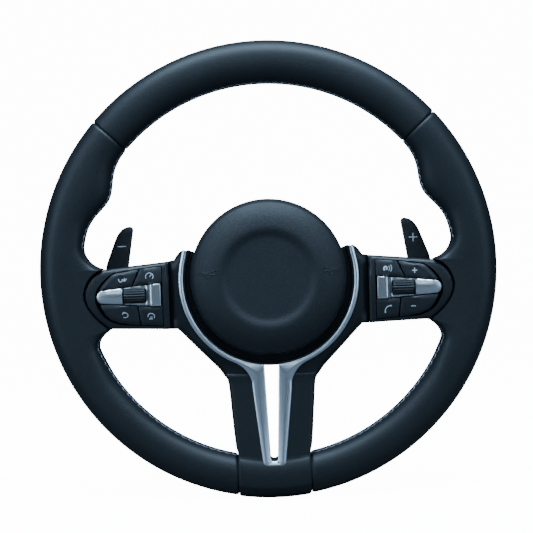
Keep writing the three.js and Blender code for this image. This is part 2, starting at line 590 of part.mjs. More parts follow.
add("armature", armature(), CAST_FINISH);
add("hub_insert", hubInsert(), STEEL_FINISH);
add("rim_foam", rimFoam(), FOAM_FINISH);
add("leather_top", leatherTop(), LEATHER_FINISH);
add("leather_left_grip", leatherGrip(-1), LEATHER_FINISH);
add("leather_right_grip", leatherGrip(1), LEATHER_FINISH);
add("leather_bottom", leatherBottom(), LEATHER_FINISH);
add("front_trim", frontTrim(), TRIM_FINISH);
add("silver_trim", silverTrim(), SILVER_FINISH);
add("rear_cover", rearCover(), TRIM_FINISH);
screwPlaces().forEach((centre, i) => add(`rear_screw_${i + 1}`, rearScrew(centre), STEEL_FINISH));

add("airbag_cover", airbagCover(), COVER_FINISH);
add("airbag_pan", airbagPan(), STEEL_FINISH);
add("folded_airbag", foldedAirbag(), BAG_FINISH);
add("gas_generator", gasGenerator(), STEEL_FINISH);
HORN_PINS.forEach((centre, i) => {
  add(`horn_pin_${i + 1}`, hornPin(centre), STEEL_FINISH);
  add(`horn_spring_${i + 1}`, hornSpring(centre), STEEL_FINISH);
});

for (const [name, side] of [["left", -1], ["right", 1]]) {
  add(`${name}_switch_housing`, switchHousing(side), TRIM_FINISH);
  add(`${name}_switch_board`, switchBoard(side), BOARD_FINISH);
  for (const [place, corners] of Object.entries(BUTTON_OUTLINES)) {
    add(`${name}_button_${place}`, button(side, corners), BUTTON_FINISH);
  }
  add(`${name}_bezel`, bezel(side), SILVER_FINISH);
  add(`${name}_roller`, roller(side), BUTTON_FINISH);
  add(`${name}_roller_axle`, rollerBar(side, ROLLER.axle, ROLLER.from - 2.2, ROLLER.to + 2.2), STEEL_FINISH);
  add(`${name}_paddle`, paddle(side), TRIM_FINISH);
  add(`${name}_paddle_bracket`, paddleBracket(side), CAST_FINISH);
  add(`${name}_paddle_pin`, paddlePin(side), STEEL_FINISH);
  add(`${name}_paddle_spring`, paddleSpring(side), STEEL_FINISH);
  add(`${name}_paddle_switch`, paddleSwitch(side), TRIM_FINISH);
  add(`${name}_harness_lead`, harnessLead(side), LEATHER_FINISH);
}
add("harness_connector", harnessConnector(), CONNECTOR_FINISH);

export default wheel;
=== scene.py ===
from math import acos, atan2, cos, degrees, exp, hypot, pi, radians, sin, sqrt

import bmesh
import bpy
from mathutils import Matrix, Vector
from mathutils.geometry import intersect_point_line


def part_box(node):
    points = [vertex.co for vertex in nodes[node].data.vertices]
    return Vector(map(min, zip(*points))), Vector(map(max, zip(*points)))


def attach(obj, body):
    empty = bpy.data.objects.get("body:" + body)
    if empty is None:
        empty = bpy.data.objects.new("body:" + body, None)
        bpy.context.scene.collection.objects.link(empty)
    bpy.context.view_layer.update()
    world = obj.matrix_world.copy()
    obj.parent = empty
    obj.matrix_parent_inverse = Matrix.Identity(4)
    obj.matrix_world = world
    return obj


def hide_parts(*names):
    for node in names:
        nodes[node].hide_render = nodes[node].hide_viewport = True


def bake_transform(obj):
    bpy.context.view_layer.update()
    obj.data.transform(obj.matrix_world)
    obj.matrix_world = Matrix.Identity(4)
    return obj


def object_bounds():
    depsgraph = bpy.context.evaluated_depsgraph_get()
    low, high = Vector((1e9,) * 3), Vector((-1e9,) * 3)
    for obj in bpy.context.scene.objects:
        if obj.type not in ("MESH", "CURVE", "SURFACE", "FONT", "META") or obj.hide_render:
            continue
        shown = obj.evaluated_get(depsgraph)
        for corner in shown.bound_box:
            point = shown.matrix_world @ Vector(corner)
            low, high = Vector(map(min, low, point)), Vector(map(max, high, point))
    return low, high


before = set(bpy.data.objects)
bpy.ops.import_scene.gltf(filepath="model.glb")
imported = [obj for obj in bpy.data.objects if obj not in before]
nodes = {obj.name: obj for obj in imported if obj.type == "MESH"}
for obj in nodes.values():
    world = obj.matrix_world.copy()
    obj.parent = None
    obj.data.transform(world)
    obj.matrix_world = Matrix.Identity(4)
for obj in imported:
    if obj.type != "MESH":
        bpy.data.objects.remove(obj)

cad_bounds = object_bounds()

# ==== Cast frame and hub insert ====
# The frame is one aluminium die casting: hub plate, two side arms, twin lower rails and the rim's core.
# A splined steel sleeve is cast into the hub and takes the steering column's shaft.
# Casting skin is slightly pebbled and dull; the sleeve is machined and oiled.


def add_node(tree, kind, *values, settings=None, **inputs):
    """A shader node. Values fill its sockets in order and inputs fill them by name; a socket is linked."""
    made = tree.nodes.new(kind)
    for key, value in (settings or {}).items():
        setattr(made, key, value)
    filled = list(zip(made.inputs, values))
    filled += [(made.inputs[key.replace("_", " ")], value) for key, value in inputs.items()]
    for socket, value in filled:
        if isinstance(value, bpy.types.NodeSocket):
            tree.links.new(value, socket)
        else:
            socket.default_value = value
    return made


def maths(tree, operation, *values):
    return add_node(tree, "ShaderNodeMath", *values, settings={"operation": operation}).outputs[0]


def node_group(name, **inputs):
    """An empty shader group that puts out Colour, Roughness and Normal, with its two ends."""
    tree = bpy.data.node_groups.new(name, "ShaderNodeTree")
    for label, value in inputs.items():
        kind = "NodeSocketColor" if isinstance(value, tuple) else "NodeSocketFloat"
        tree.interface.new_socket(label, in_out="INPUT", socket_type=kind).default_value = value
    for label, kind in (("Colour", "Color"), ("Roughness", "Float"), ("Normal", "Vector")):
        tree.interface.new_socket(label, in_out="OUTPUT", socket_type="NodeSocket" + kind)
    return tree, tree.nodes.new("NodeGroupInput").outputs, tree.nodes.new("NodeGroupOutput").inputs


def finish_group(tree, out, given, patch, height):
    """Colour and roughness that wander with the patches, and a normal from the height, in metres."""
    colour = add_node(tree, "ShaderNodeMixRGB", patch, given["Colour"], given["Shade"]).outputs[0]
    wander = maths(tree, "MULTIPLY", maths(tree, "SUBTRACT", patch, 0.5), given["Spread"])
    bump = add_node(tree, "ShaderNodeBump", Distance=given["Depth"], Height=height)
    tree.links.new(colour, out["Colour"])
    tree.links.new(maths(tree, "ADD", given["Roughness"], wander), out["Roughness"])
    tree.links.new(bump.outputs[0], out["Normal"])


def moulded_group():
    """Skin of a casting or moulding: wandering shade and a fine pebbled relief."""
    tree, given, out = node_group("moulded_skin", Colour=(0.5, 0.5, 0.5, 1), Shade=(0.4, 0.4, 0.4, 1),
                                  Roughness=0.5, Spread=0.1, Patch=60.0, Grain=1500.0, Depth=0.00004)
    place = add_node(tree, "ShaderNodeTexCoord").outputs["Object"]
    patch = add_node(tree, "ShaderNodeTexNoise", Vector=place, Scale=given["Patch"], Detail=4.0)
    grain = add_node(tree, "ShaderNodeTexNoise", Vector=place, Scale=given["Grain"], Detail=3.0)
    finish_group(tree, out, given, patch.outputs[0], grain.outputs[0])
    return tree


def drawn_group():
    """Brushed or drawn surface: streaks along Z, with wandering shade."""
    tree, given, out = node_group("drawn_streaks", Colour=(0.5, 0.5, 0.5, 1), Shade=(0.4, 0.4, 0.4, 1),
                                  Roughness=0.3, Spread=0.1, Patch=300.0, Depth=0.00001)
    place = add_node(tree, "ShaderNodeTexCoord").outputs["Object"]
    stretched = add_node(tree, "ShaderNodeMapping", Vector=place, Scale=(1.0, 1.0, 0.06)).outputs[0]
    patch = add_node(tree, "ShaderNodeTexNoise", Vector=stretched, Scale=given["Patch"], Detail=3.0)
    streak = add_node(tree, "ShaderNodeTexNoise", Vector=stretched, Scale=2600.0, Detail=2.0)
    finish_group(tree, out, given, patch.outputs[0], streak.outputs[0])
    return tree


MOULDED = moulded_group()
DRAWN = drawn_group()


def finish(name, group, colour, shade, shader=None, **looks):
    """A Principled material fed by a group. Looks are the group's other values, shader the Principled's."""
    made = bpy.data.materials.new(name)
    made.use_nodes = True
    tree = made.node_tree
    principled = tree.nodes["Principled BSDF"]
    source = tree.nodes.new("ShaderNodeGroup")
    source.node_tree = group
    for label, value in {"Colour": (*colour, 1), "Shade": (*shade, 1), **looks}.items():
        source.inputs[label].default_value = value
    for label, value in (shader or {}).items():
        principled.inputs[label.replace("_", " ")].default_value = value
    for output, socket in (("Colour", "Base Color"), ("Roughness", "Roughness"), ("Normal", "Normal")):
        tree.links.new(source.outputs[output], principled.inputs[socket])
    return made


def repaint(names, material):
    """Gives CAD nodes a material in each of their slots."""
    for name in names:
        for slot in nodes[name].material_slots:
            slot.link = "OBJECT"
            slot.material = material


CAST = finish("cast_aluminium", MOULDED, (0.42, 0.43, 0.44), (0.3, 0.31, 0.32), Roughness=0.48,
              Spread=0.2, Patch=90.0, Grain=1100.0, Depth=0.00012, shader=dict(Metallic=1.0))
STEEL = finish("machined_steel", MOULDED, (0.36, 0.37, 0.39), (0.24, 0.24, 0.25), Roughness=0.32,
               Spread=0.15, Patch=200.0, Grain=3000.0, Depth=0.00002, shader=dict(Metallic=1.0))
repaint(["armature"], CAST)
repaint(["hub_insert"], STEEL)

# ==== Rim foam ====
# Dark polyurethane foam moulded in one shot round the rim's core and out along the side spokes' roots.
# It gives the rim its section: a rounded rectangle that swells where the thumbs rest.
# It stays hidden under the leather, except where the switch pods are let in.

MM = 0.001
RIM_OUTER = 185.0
RIM_DEPTH = 15.5
RIM_MIDDLE = -62.0
RIM_CENTRE = 167.75
RIM_POWER = 2.3  # roundness of the section, where 2 is an ellipse


def ramp(value):
    """Smooth step from 0 to 1."""
    t = min(1.0, max(0.0, value))
    return t * t * (3 - 2 * t)


def inner_radius(angle):
    """Radius of the rim's inner edge, in mm, at an angle above level, in degrees."""
    away = (angle - 25.8) / 5.46
    radius = 151.0 - 0.9 * sin(radians(angle)) - 10.0 * exp(-away * away / 2)
    above = (angle - 1.7) / 7.0
    below = (-18.8 - angle) / 4.6
    if 0 < above < 1:
        radius -= 24.8 * (1 - sqrt(above)) ** 1.5
    elif 0 < below < 1:
        radius -= 25.4 * (1 - sqrt(below)) ** 1.6
    elif above <= 0 and below <= 0:
        radius = 126.0
    return radius


def rim_point(angle, turn, under=0.0, proud=0.0):
    """Point on the rim in mm: angle is round the steering axis, turn round the section, 0 outermost."""
    level = degrees(atan2(sin(radians(angle)), abs(cos(radians(angle)))))
    c, s = cos(radians(turn)), sin(radians(turn))
    reach = RIM_CENTRE - inner_radius(level)
    spread = ramp((level + 35) / 18) * ramp((17 - level) / 17)
    power = RIM_POWER if c >= 0 else RIM_POWER + 2.6 * spread
    depth = (RIM_DEPTH + proud - under) * (1 if s > 0 else -1) * abs(s) ** (2 / power)
    if c >= 0:
        radius = RIM_CENTRE + (RIM_OUTER - RIM_CENTRE + proud - under) * c ** (2 / power)
    else:
        inwards = abs(c) ** (2 / power) * (reach - under + proud)
        radius = RIM_CENTRE - inwards
        depth *= 1 - 0.16 * spread * ramp(inwards / 24)
    a = radians(angle)
    return Vector((radius * cos(a), RIM_MIDDLE + depth, radius * sin(a)))


SEAM_TURN = -165.0


def rim_turns():
    """Places round the section, closer together beside the sewn seam."""
    near = [SEAM_TURN + offset for offset in (-6, -4, -2.8, -1.8, -0.9, 0, 0.9, 1.8, 2.8, 4, 6)]
    rest, left_over = 45, 348.0
    return near + [near[-1] + left_over * (i + 1) / (rest + 1) for i in range(rest)]


def rim_length(start, end, low_seam=None, high_seam=None, under=0.0, steps=300):
    """A length of rim between two angles. A seam, given as 0 or as a half width, pinches its end."""
    bm = bmesh.new()
    turns = rim_turns()
    ring = bmesh.ops.create_circle(bm, cap_ends=False, segments=len(turns), radius=1.0)["verts"]
    bmesh.ops.translate(bm, verts=ring, vec=(3, 0, 0))
    closed = end - start >= 360
    bmesh.ops.spin(bm, geom=bm.verts[:] + bm.edges[:], cent=(0, 0, 0), axis=(0, -1, 0), dvec=(0, 0, 0),
                   angle=2 * pi if closed else pi, steps=steps, use_merge=closed)
    close = (0.0, 0.3, 0.7, 1.2, 1.8, 2.6)  # mm from a sewn end
    pinch_depth, pinch_width = 1.1, 2.2
    degree = RIM_CENTRE * pi / 180
    for v in bm.verts:
        around = atan2(v.co.z, v.co.x) % (2 * pi)
        place = atan2(v.co.y, hypot(v.co.x, v.co.z) - 3) % (2 * pi)
        turn = turns[int(round(place / (2 * pi) * len(turns))) % len(turns)]
        step = int(round(around / (2 * pi if closed else pi) * steps))
        from_start = degree * (end - start) * step / steps
        from_end = degree * (end - start) - from_start
        if not closed and step < len(close):
            from_start = close[step]
            from_end = degree * (end - start) - from_start
        elif not closed and steps - step < len(close):
            from_end = close[steps - step]
            from_start = degree * (end - start) - from_end
        angle = start + from_start / degree
        pinch = 0.0
        if low_seam is not None:
            pinch = max(pinch, pinch_depth * max(0.0, 1 - from_start / pinch_width) ** 2)
        if high_seam is not None:
            pinch = max(pinch, pinch_depth * max(0.0, 1 - from_end / pinch_width) ** 2)
        sewn = abs((turn - SEAM_TURN + 180) % 360 - 180)
        groove = 0.55 * exp(-((sewn / 1.5) ** 2)) if under == 0 else 0.0
        point = rim_point(angle, turn, under + pinch + groove)
        if low_seam:
            radius = hypot(point.x, point.z)
            fade = ramp(1 - from_start / 60)
            middle = degrees(acos(low_seam / RIM_CENTRE))
            shift = radians(middle - degrees(acos(low_seam / radius))) * fade
            point = Matrix.Rotation(-shift, 3, "Y") @ point
        v.co = point
    if not closed:
        bmesh.ops.holes_fill(bm, edges=[e for e in bm.edges if e.is_boundary])
    return bm


def outline(entries, side=1, steps=7):
    """Points in mm: (x, z) is a corner, and (control x, control z, x, z) a round stretch."""
    points = [Vector((entries[0][0], entries[0][1]))]
    for entry in entries[1:]:
        last = points[-1]
        if len(entry) == 4:
            control, to = Vector(entry[:2]), Vector(entry[2:])
            for i in range(1, steps + 1):
                t = i / steps
                points.append(last * (1 - t) ** 2 + control * (2 * t * (1 - t)) + to * t * t)
        else:
            points.append(Vector(entry))
    return [Vector((side * p.x, p.y)) for p in points]


def shade(mesh, sharp_over=38):
    mesh.shade_smooth()
    mesh.set_sharp_from_angle(angle=radians(sharp_over))


def raw_object(name, bm):
    """An object in metres made from a mesh drawn in mm."""
    bmesh.ops.remove_doubles(bm, verts=bm.verts, dist=0.002)
    bmesh.ops.recalc_face_normals(bm, faces=bm.faces)
    bmesh.ops.scale(bm, vec=(MM, MM, MM), verts=bm.verts)
    mesh = bpy.data.meshes.new(name)
    bm.to_mesh(mesh)
    bm.free()
    made = bpy.data.objects.new(name, mesh)
    bpy.context.scene.collection.objects.link(made)
    return made


def piece(name, bm, material, body, replaces=(), sharp_over=38):
    made = raw_object(name, bm)
    made.data.materials.append(material)
    shade(made.data, sharp_over)
    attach(made, body)
    if replaces:
        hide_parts(*replaces)
    return made


def cut(target, cutter, sharp_over=38):
    """Takes the cutter's shape out of the target."""
    modifier = target.modifiers.new("cut", "BOOLEAN")
    modifier.operation = "DIFFERENCE"
    modifier.solver = "EXACT"
    modifier.object = cutter
    solved = bpy.data.meshes.new_from_object(target.evaluated_get(bpy.context.evaluated_depsgraph_get()))
    target.modifiers.clear()
    target.data = solved
    bpy.data.objects.remove(cutter)
    shade(target.data, sharp_over)


def block(bm, low, high):
    """A box between two corners, in mm."""
    middle = (Vector(low) + Vector(high)) / 2
    size = Vector(high) - Vector(low)
    bmesh.ops.create_cube(bm, size=1, matrix=Matrix.Translation(middle) @ Matrix.Diagonal((*size, 1)))


def slab(bm, points, front, back):
    """A plate with an outline in X and Z, between two depths, in mm."""
    face = bm.faces.new([bm.verts.new((p.x, front, p.y)) for p in points])
    extruded = bmesh.ops.extrude_face_region(bm, geom=[face])["geom"]
    moved = [v for v in extruded if isinstance(v, bmesh.types.BMVert)]
    bmesh.ops.translate(bm, verts=moved, vec=(0, back - front, 0))


POD_OUTLINE = [(80.6, 9.2), (112, 6.3), (129.8, 4.6), (145, 3.6, 148.8, -15), (149.2, -29.6, 128.6, -44.6),
               (126.6, -43.8), (80.6, -45.4)]


def grown(points, distance):
    """The outline moved outwards, or inwards by a negative distance."""
    area = sum(a.x * b.y - b.x * a.y for a, b in zip(points, points[1:] + points[:1]))
    turn = 1 if area > 0 else -1
    moved = []
    for before, here, after in zip(points[-1:] + points[:-1], points, points[1:] + points[:1]):
        arriving, leaving = (here - before).normalized(), (after - here).normalized()
        away = Vector((arriving.y + leaving.y, -arriving.x - leaving.x)).normalized()
        reach = distance / max(0.4, away.dot(Vector((leaving.y, -leaving.x))))
        moved.append(here + away * turn * reach)
    return moved


def pod_cutter(side, room):
    """The room for a switch pod, and for everything inside the place where the pod leaves the rim."""
    leaves = 130.3
    end = [p for p in grown(outline(POD_OUTLINE, 1, 14), room) if p.x > leaves + 0.3]
    points = [Vector((100, 22)), Vector((leaves, 22)), *end, Vector((leaves - 1.6, -62)),
              Vector((100, -62))]
    bm = bmesh.new()
    slab(bm, [Vector((side * p.x, p.y)) for p in points], -95, -30)
    return raw_object("pod_cutter", bm)


FOAM = finish("rim_foam", MOULDED, (0.03, 0.03, 0.03),
              (0.05, 0.05, 0.05), Roughness=0.9, Spread=0.1, Patch=300.0, Grain=900.0, Depth=0.0003)
foam = piece("rim_foam_skin", rim_length(0, 360, under=1.7, steps=360), FOAM, "wheel", ["rim_foam"])
for side in (-1, 1):
    cut(foam, pod_cutter(side, 1.5))

# ==== Rim leather ====
# Three lengths of black nappa leather are sewn end to end and laced along the inner edge: one over the
# top and one round each grip. The joints between lengths are turned in, so each shows as a thin groove.
# The lacing is grey-blue thread, crossing from edge to edge about every six millimetres.

LEATHER_COLOUR = (0.006, 0.0082, 0.0108)


def hide_group():
    """Leather or grained airbag skin: cells with creases between them, over slow patches."""
    tree, given, out = node_group("hide_grain", Colour=(*LEATHER_COLOUR, 1), Shade=(0.02, 0.024, 0.03, 1),
                                  Roughness=0.5, Spread=0.1, Patch=35.0, Cells=900.0, Depth=0.00006)
    place = add_node(tree, "ShaderNodeTexCoord").outputs["Object"]
    wobble = add_node(tree, "ShaderNodeTexNoise", Vector=place, Scale=500.0, Detail=2.0).outputs[1]
    shift = add_node(tree, "ShaderNodeVectorMath", wobble, (0.0008, 0.0008, 0.0008),
                     settings={"operation": "MULTIPLY"}).outputs[0]
    moved = add_node(tree, "ShaderNodeVectorMath", place, shift, settings={"operation": "ADD"}).outputs[0]
    cells = add_node(tree, "ShaderNodeTexVoronoi", settings={"feature": "SMOOTH_F1"}, Vector=moved,
                     Scale=given["Cells"]).outputs["Distance"]
    patch = add_node(tree, "ShaderNodeTexNoise", Vector=place, Scale=given["Patch"], Detail=5.0).outputs[0]
    pores = add_node(tree, "ShaderNodeTexNoise", Vector=place, Scale=5000.0, Detail=1.0).outputs[0]
    raised = maths(tree, "ADD", maths(tree, "SUBTRACT", 1.0, cells), maths(tree, "MULTIPLY", pores, 0.3))
    finish_group(tree, out, given, patch, raised)
    return tree


HIDE = hide_group()
LEATHER = finish("nappa_leather", HIDE, LEATHER_COLOUR, (0.0085, 0.011, 0.0145), Roughness=0.5,
                 Spread=0.14, Patch=28.0, Cells=1000.0, Depth=0.00005,
                 shader=dict(Specular_IOR_Level=0.45))
SEAM_ANGLE = 42.0
BOTTOM_SEAM = 29.7
bottom_angle = -degrees(acos(BOTTOM_SEAM / RIM_CENTRE))

SEAM_GAP = 0.04
top = rim_length(SEAM_ANGLE + SEAM_GAP, 180 - SEAM_ANGLE - SEAM_GAP, 0, 0, steps=150)
top = piece("rim_leather_top", top, LEATHER, "wheel", ["leather_top"])
right = rim_length(bottom_angle, SEAM_ANGLE - SEAM_GAP, BOTTOM_SEAM, 0, steps=420)
left = right.copy()
bmesh.ops.scale(left, vec=(-1, 1, 1), verts=left.verts)
for name, side, mesh in (("left", -1, left), ("right", 1, right)):
    grip = piece(f"rim_leather_{name}", mesh, LEATHER, "wheel", [f"leather_{name}_grip"])
    cut(grip, pod_cutter(side, 0.35))

THREAD = finish("lacing_thread", DRAWN, (0.32, 0.36, 0.42), (0.2, 0.23, 0.28), Roughness=0.6,
                Spread=0.2, Patch=2500.0, Depth=0.00006, shader=dict(Sheen_Weight=0.3))


def lacing(start, end):
    """Slanting stitches that cross the seam in turn, between two angles."""
    bm = bmesh.new()
    pitch = 3.1
    count = int((end - start) * pi / 180 * 151 / pitch)
    for i in range(count):
        angle = start + (end - start) * (i + 0.5) / count
        level = degrees(atan2(sin(radians(angle)), abs(cos(radians(angle)))))
        if -20.5 < level < 8.5:
            continue
        here = rim_point(angle, SEAM_TURN)
        along = (rim_point(angle + 0.1, SEAM_TURN) - here).normalized()
        across = (rim_point(angle, SEAM_TURN + 2) - here).normalized()
        out = along.cross(across).normalized()
        inwards = Vector((-here.x, 0, -here.z)).normalized()
        if out.dot(inwards) < 0:
            out.negate()
        slant = along * 0.82 + across * (0.57 if i % 2 else -0.57)
        third = slant.cross(out).normalized()
        turned = Matrix((slant.normalized(), third, out)).transposed().to_4x4()
        sized = Matrix.Diagonal((1.95, 0.42, 0.42, 1))
        bmesh.ops.create_uvsphere(bm, u_segments=6, v_segments=6, radius=1,
                                  matrix=Matrix.Translation(here + out * 0.1) @ turned @ sized)
    return bm


piece("rim_lacing", lacing(bottom_angle + 0.6, 180 - bottom_angle - 0.6), THREAD, "wheel")

# ==== Bottom length and lower spoke ====
# One moulding in soft dark skin covers the bottom of the rim and runs up the lower spoke to the hub.
# Its face leans forward to meet the rim's crown in a soft curved crease, and the fork is let into it.

JOIN_Z = -84.35
HUB_FRONT = -70.0
SPOKE_BACK = -47.5
LEAN_TOP, LEAN_SLOPE = -90.0, 0.075
SPOKE_EDGE = [(-84, 39.2), (-86, 37.4), (-88.2, 36), (-91, 35.3), (-96.2, 34.7), (-143, 31.1), (-147, 30.3),
              (-149.5, 29.4), (-151, 29.2), (-190, 29.2)]
SLOT_EDGE = [(-70, 7.2), (-150, 4.0), (-153, 3.2), (-154.6, 2.0), (-155.4, 0.0), (-190, 0.0)]


def along(table, at):
    """Value at a place in a table of (place, value), whose places run downwards."""
    for (z0, v0), (z1, v1) in zip(table, table[1:]):
        if at >= z1:
            t = min(1.0, max(0.0, (z0 - at) / (z0 - z1)))
            return v0 + (v1 - v0) * t
    return table[-1][1]


def lean(z):
    """How far the spoke's face has come forward at a height."""
    return LEAN_SLOPE * max(0.0, LEAN_TOP - z)


def front_of(x, z):
    """Depth of the hub's and lower spoke's face at a place, before its edge is rounded."""
    return HUB_FRONT - lean(z) + 1.2 * (x / 35) ** 2 * ramp((-60 - z) / 20)


def fillet(distance, radius):
    """How far a rounded edge has fallen back at a distance from it."""
    if distance >= radius:
        return 0.0
    return radius - sqrt(max(0.0, radius * radius - (radius - distance) ** 2))


def bottom_rows():
    """Stations down the spoke and round the rim: (radius below the axis, depth, whether on the rim)."""
    heights = (JOIN_Z + 2, JOIN_Z, -86, -88, -90, -93, -97, -102, -108, -115, -122, -129, -135, -140,
               -144, -147, -149, -151)
    rows = [(-z, None) for z in heights]
    inner, outer = 151.7, 185.6
    middle, half = (inner + outer) / 2, (outer - inner) / 2
    for turn in range(152, -181, -6):
        c, s = cos(radians(turn)), sin(radians(turn))
        radius = middle + half * (1 if c > 0 else -1) * abs(c) ** (2 / RIM_POWER)
        depth = RIM_MIDDLE - (RIM_DEPTH + 0.6) * (1 if s > 0 else -1) * abs(s) ** (2 / RIM_POWER)
        rows.append((radius, depth))
    return rows


def bottom_mesh():
    bm = bmesh.new()
    rows = bottom_rows()
    edge_steps = (2.8, 1.9, 1.2, 0.7, 0.35, 0.1, 0.0)
    flat_columns, wall_columns = 12, 3
    wall_start = flat_columns + len(edge_steps)
    columns = wall_start + wall_columns
    sheet = bmesh.ops.create_grid(bm, x_segments=len(rows) - 1, y_segments=columns - 1, size=1)["verts"]
    for v in sheet:
        row = int(round((v.co.x + 1) / 2 * (len(rows) - 1)))
        column = int(round((v.co.y + 1) / 2 * (columns - 1)))
        radius, depth = rows[row]
        on_rim = depth is not None
        wide, slot = along(SPOKE_EDGE, -radius), along(SLOT_EDGE, -radius)
        if column < flat_columns:
            x = slot + (wide - 3.8 - slot) * column / (flat_columns - 1)
            edge = wide - x
        elif column < wall_start:
            edge = edge_steps[column - flat_columns]
            x = wide - edge
        else:
            edge, x = 0.0, wide
        bend = ramp((radius - 125) / 24)
        z = -(radius * (1 - bend) + sqrt(max(0.0, radius ** 2 - x * x)) * bend)
        plane = front_of(x, z)
        pinch = max(0.0, 1 - edge / 1.8) ** 2
        narrowed = ramp((radius - 140) / 11)
        corner = 3.6 * (1 - narrowed) + 0.9 * narrowed
        if not on_rim:
            y = plane + fillet(edge, corner)
            wall = column + 1 - wall_start
            if row == 0:
                y += 2.2
                x = min(x, wide - 2.4)
            if wall > 0:
                y += (SPOKE_BACK - y) * wall / wall_columns
        else:
            y = depth
            if radius < 176 and depth < RIM_MIDDLE:
                near = min(1.0, max(0.0, 0.5 + (depth - plane) / 7.0))
                y = depth + (plane - depth) * near - 7.0 * near * (1 - near)
            sunk = pinch + max(0, column + 1 - wall_start) * 1.2
            centre = Vector((0, RIM_MIDDLE, -sqrt(168.6 ** 2 - x * x)))
            inward = (centre - Vector((0, y, z))).normalized()
            y += inward.y * sunk
            z += inward.z * sunk
        v.co = (x, y, z)
    bmesh.ops.mirror(bm, geom=bm.verts[:] + bm.edges[:] + bm.faces[:], axis="X", merge_dist=0.01)
    return bm


SOFT_SKIN = finish("soft_moulded_skin", HIDE, (0.0055, 0.0075, 0.0098), (0.0075, 0.01, 0.013),
                   Roughness=0.5, Spread=0.12, Patch=30.0, Cells=1600.0, Depth=0.00003,
                   shader=dict(Specular_IOR_Level=0.4))
bottom = piece("rim_bottom_and_spoke", bottom_mesh(), SOFT_SKIN, "wheel", ["leather_bottom"], 50)

# ==== Hub mask ====
# A dark moulded mask surrounds the airbag and fills the corners between the spokes. A collar behind the
# silver ring gives the airbag's cover its recess, and a closed ring stands behind the cover, out of sight.

RING_Z = -7.5
MASK_SIDE = [(68.7, 17.9), (72.6, 16.6, 76, 10.2), (80.3, 9.5), (80.3, -45.6), (74.4, -45.6), (43.6, -78.2),
             (40.6, -81.4, 39.2, -84.2)]
BESIDE_FORK = [(19.1, -84.2), (21.5, -80.8), (25.2, -77.3), (29.9, -74.6)]
COLLAR = [(67.7, -69.8), (67.7, -59.2), (61, -59.2), (61, -58.4), (68.4, -58.4), (69.6, -59.4), (69.6, -69.8),
          (67.7, -69.8)]
CLOSED_RING = [(59.5, -57.8), (63.4, -57.8), (63.4, -50), (59.5, -50), (59.5, -57.8)]


def edge_distance(point, points, closed=True):
    """Distance from a place to an outline or a line."""
    best = 1e9
    for a, b in zip(points, points[1:] + points[:1] if closed else points[1:]):
        on, t = intersect_point_line(point, a, b)
        near = a if t < 0 else b if t > 1 else on
        best = min(best, (point - Vector(near[:2])).length)
    return best


def panel(bm, points, front, back, rounding, crown=None, cell=4.0, rings=(0.08, 0.16, 0.3, 0.46), soft=None):
    """A plate with a rounded front edge, or only along the soft line. The crown adds to the face's depth."""
    face = bm.faces.new([bm.verts.new((p.x, front, p.y)) for p in points])
    for share in rings:
        bmesh.ops.inset_region(bm, faces=[face], thickness=rounding * share, use_even_offset=True)
    for axis, normal in ((0, (1, 0, 0)), (2, (0, 0, 1))):
        low, high = min(p[axis // 2] for p in points), max(p[axis // 2] for p in points)
        count = int((high - low) / cell)
        for i in range(1, count + 1):
            place = [0, 0, 0]
            place[axis] = low + (high - low) * i / (count + 1)
            everything = bm.verts[:] + bm.edges[:] + bm.faces[:]
            bmesh.ops.bisect_plane(bm, geom=everything, plane_co=place, plane_no=normal)
    for v in bm.verts:
        place = Vector((v.co.x, v.co.z))
        distance = edge_distance(place, points)
        rounded = edge_distance(place, soft, False) if soft else distance
        v.co.y += fillet(rounded, rounding)
        if crown:
            v.co.y += crown(v.co.x, v.co.z, distance)
    rim = [e for e in bm.edges if e.is_boundary]
    walls = bmesh.ops.extrude_edge_only(bm, edges=rim)["geom"]
    for v in walls:
        if isinstance(v, bmesh.types.BMVert):
            v.co.y = back
    bmesh.ops.holes_fill(bm, edges=[e for e in bm.edges if e.is_boundary])


def turned(bm, profile, centre, start=0.0, end=360.0, steps=96):
    """A profile of (radius, depth) turned about a line along Y, between two angles above level."""
    x, z = centre
    first = radians(start)
    line = [bm.verts.new((x + r * cos(first), y, z + r * sin(first))) for r, y in profile]
    edges = [bm.edges.new(pair) for pair in zip(line, line[1:])]
    bmesh.ops.spin(bm, geom=line + edges, cent=(x, 0, z), axis=(0, -1, 0), dvec=(0, 0, 0),
                   angle=radians(end - start), steps=steps, use_merge=end - start >= 360)


def mask_crown(x, z, distance):
    return front_of(x, z) - HUB_FRONT


TRIM_PLASTIC = finish("dark_mask", MOULDED, (0.0045, 0.006, 0.008), (0.006, 0.008, 0.0105),
                      Roughness=0.4, Spread=0.1, Patch=40.0, Grain=2600.0, Depth=0.00002,
                      shader=dict(Specular_IOR_Level=0.4))
mask = bmesh.new()
ring_edge = [(73.2 * cos(radians(a)), RING_Z + 73.2 * sin(radians(a))) for a in range(-64, 20, 2)]
for side in (-1, 1):
    half = outline([*MASK_SIDE, *BESIDE_FORK, *ring_edge], side)
    panel(mask, half, HUB_FRONT, SPOKE_BACK, 3.6, mask_crown, 4.5, soft=outline(MASK_SIDE, side))
turned(mask, COLLAR, (0, RING_Z), -201.5, 21.5, 90)
turned(mask, CLOSED_RING, (0, RING_Z), steps=120)
piece("hub_mask", mask, TRIM_PLASTIC, "wheel", ["front_trim"])

# ==== Silver trim ====
# A satin plated ring round the airbag that runs down into a fork with two prongs and an open slot.
# Its face has a crest, so that an inner and an outer facet catch the light differently.

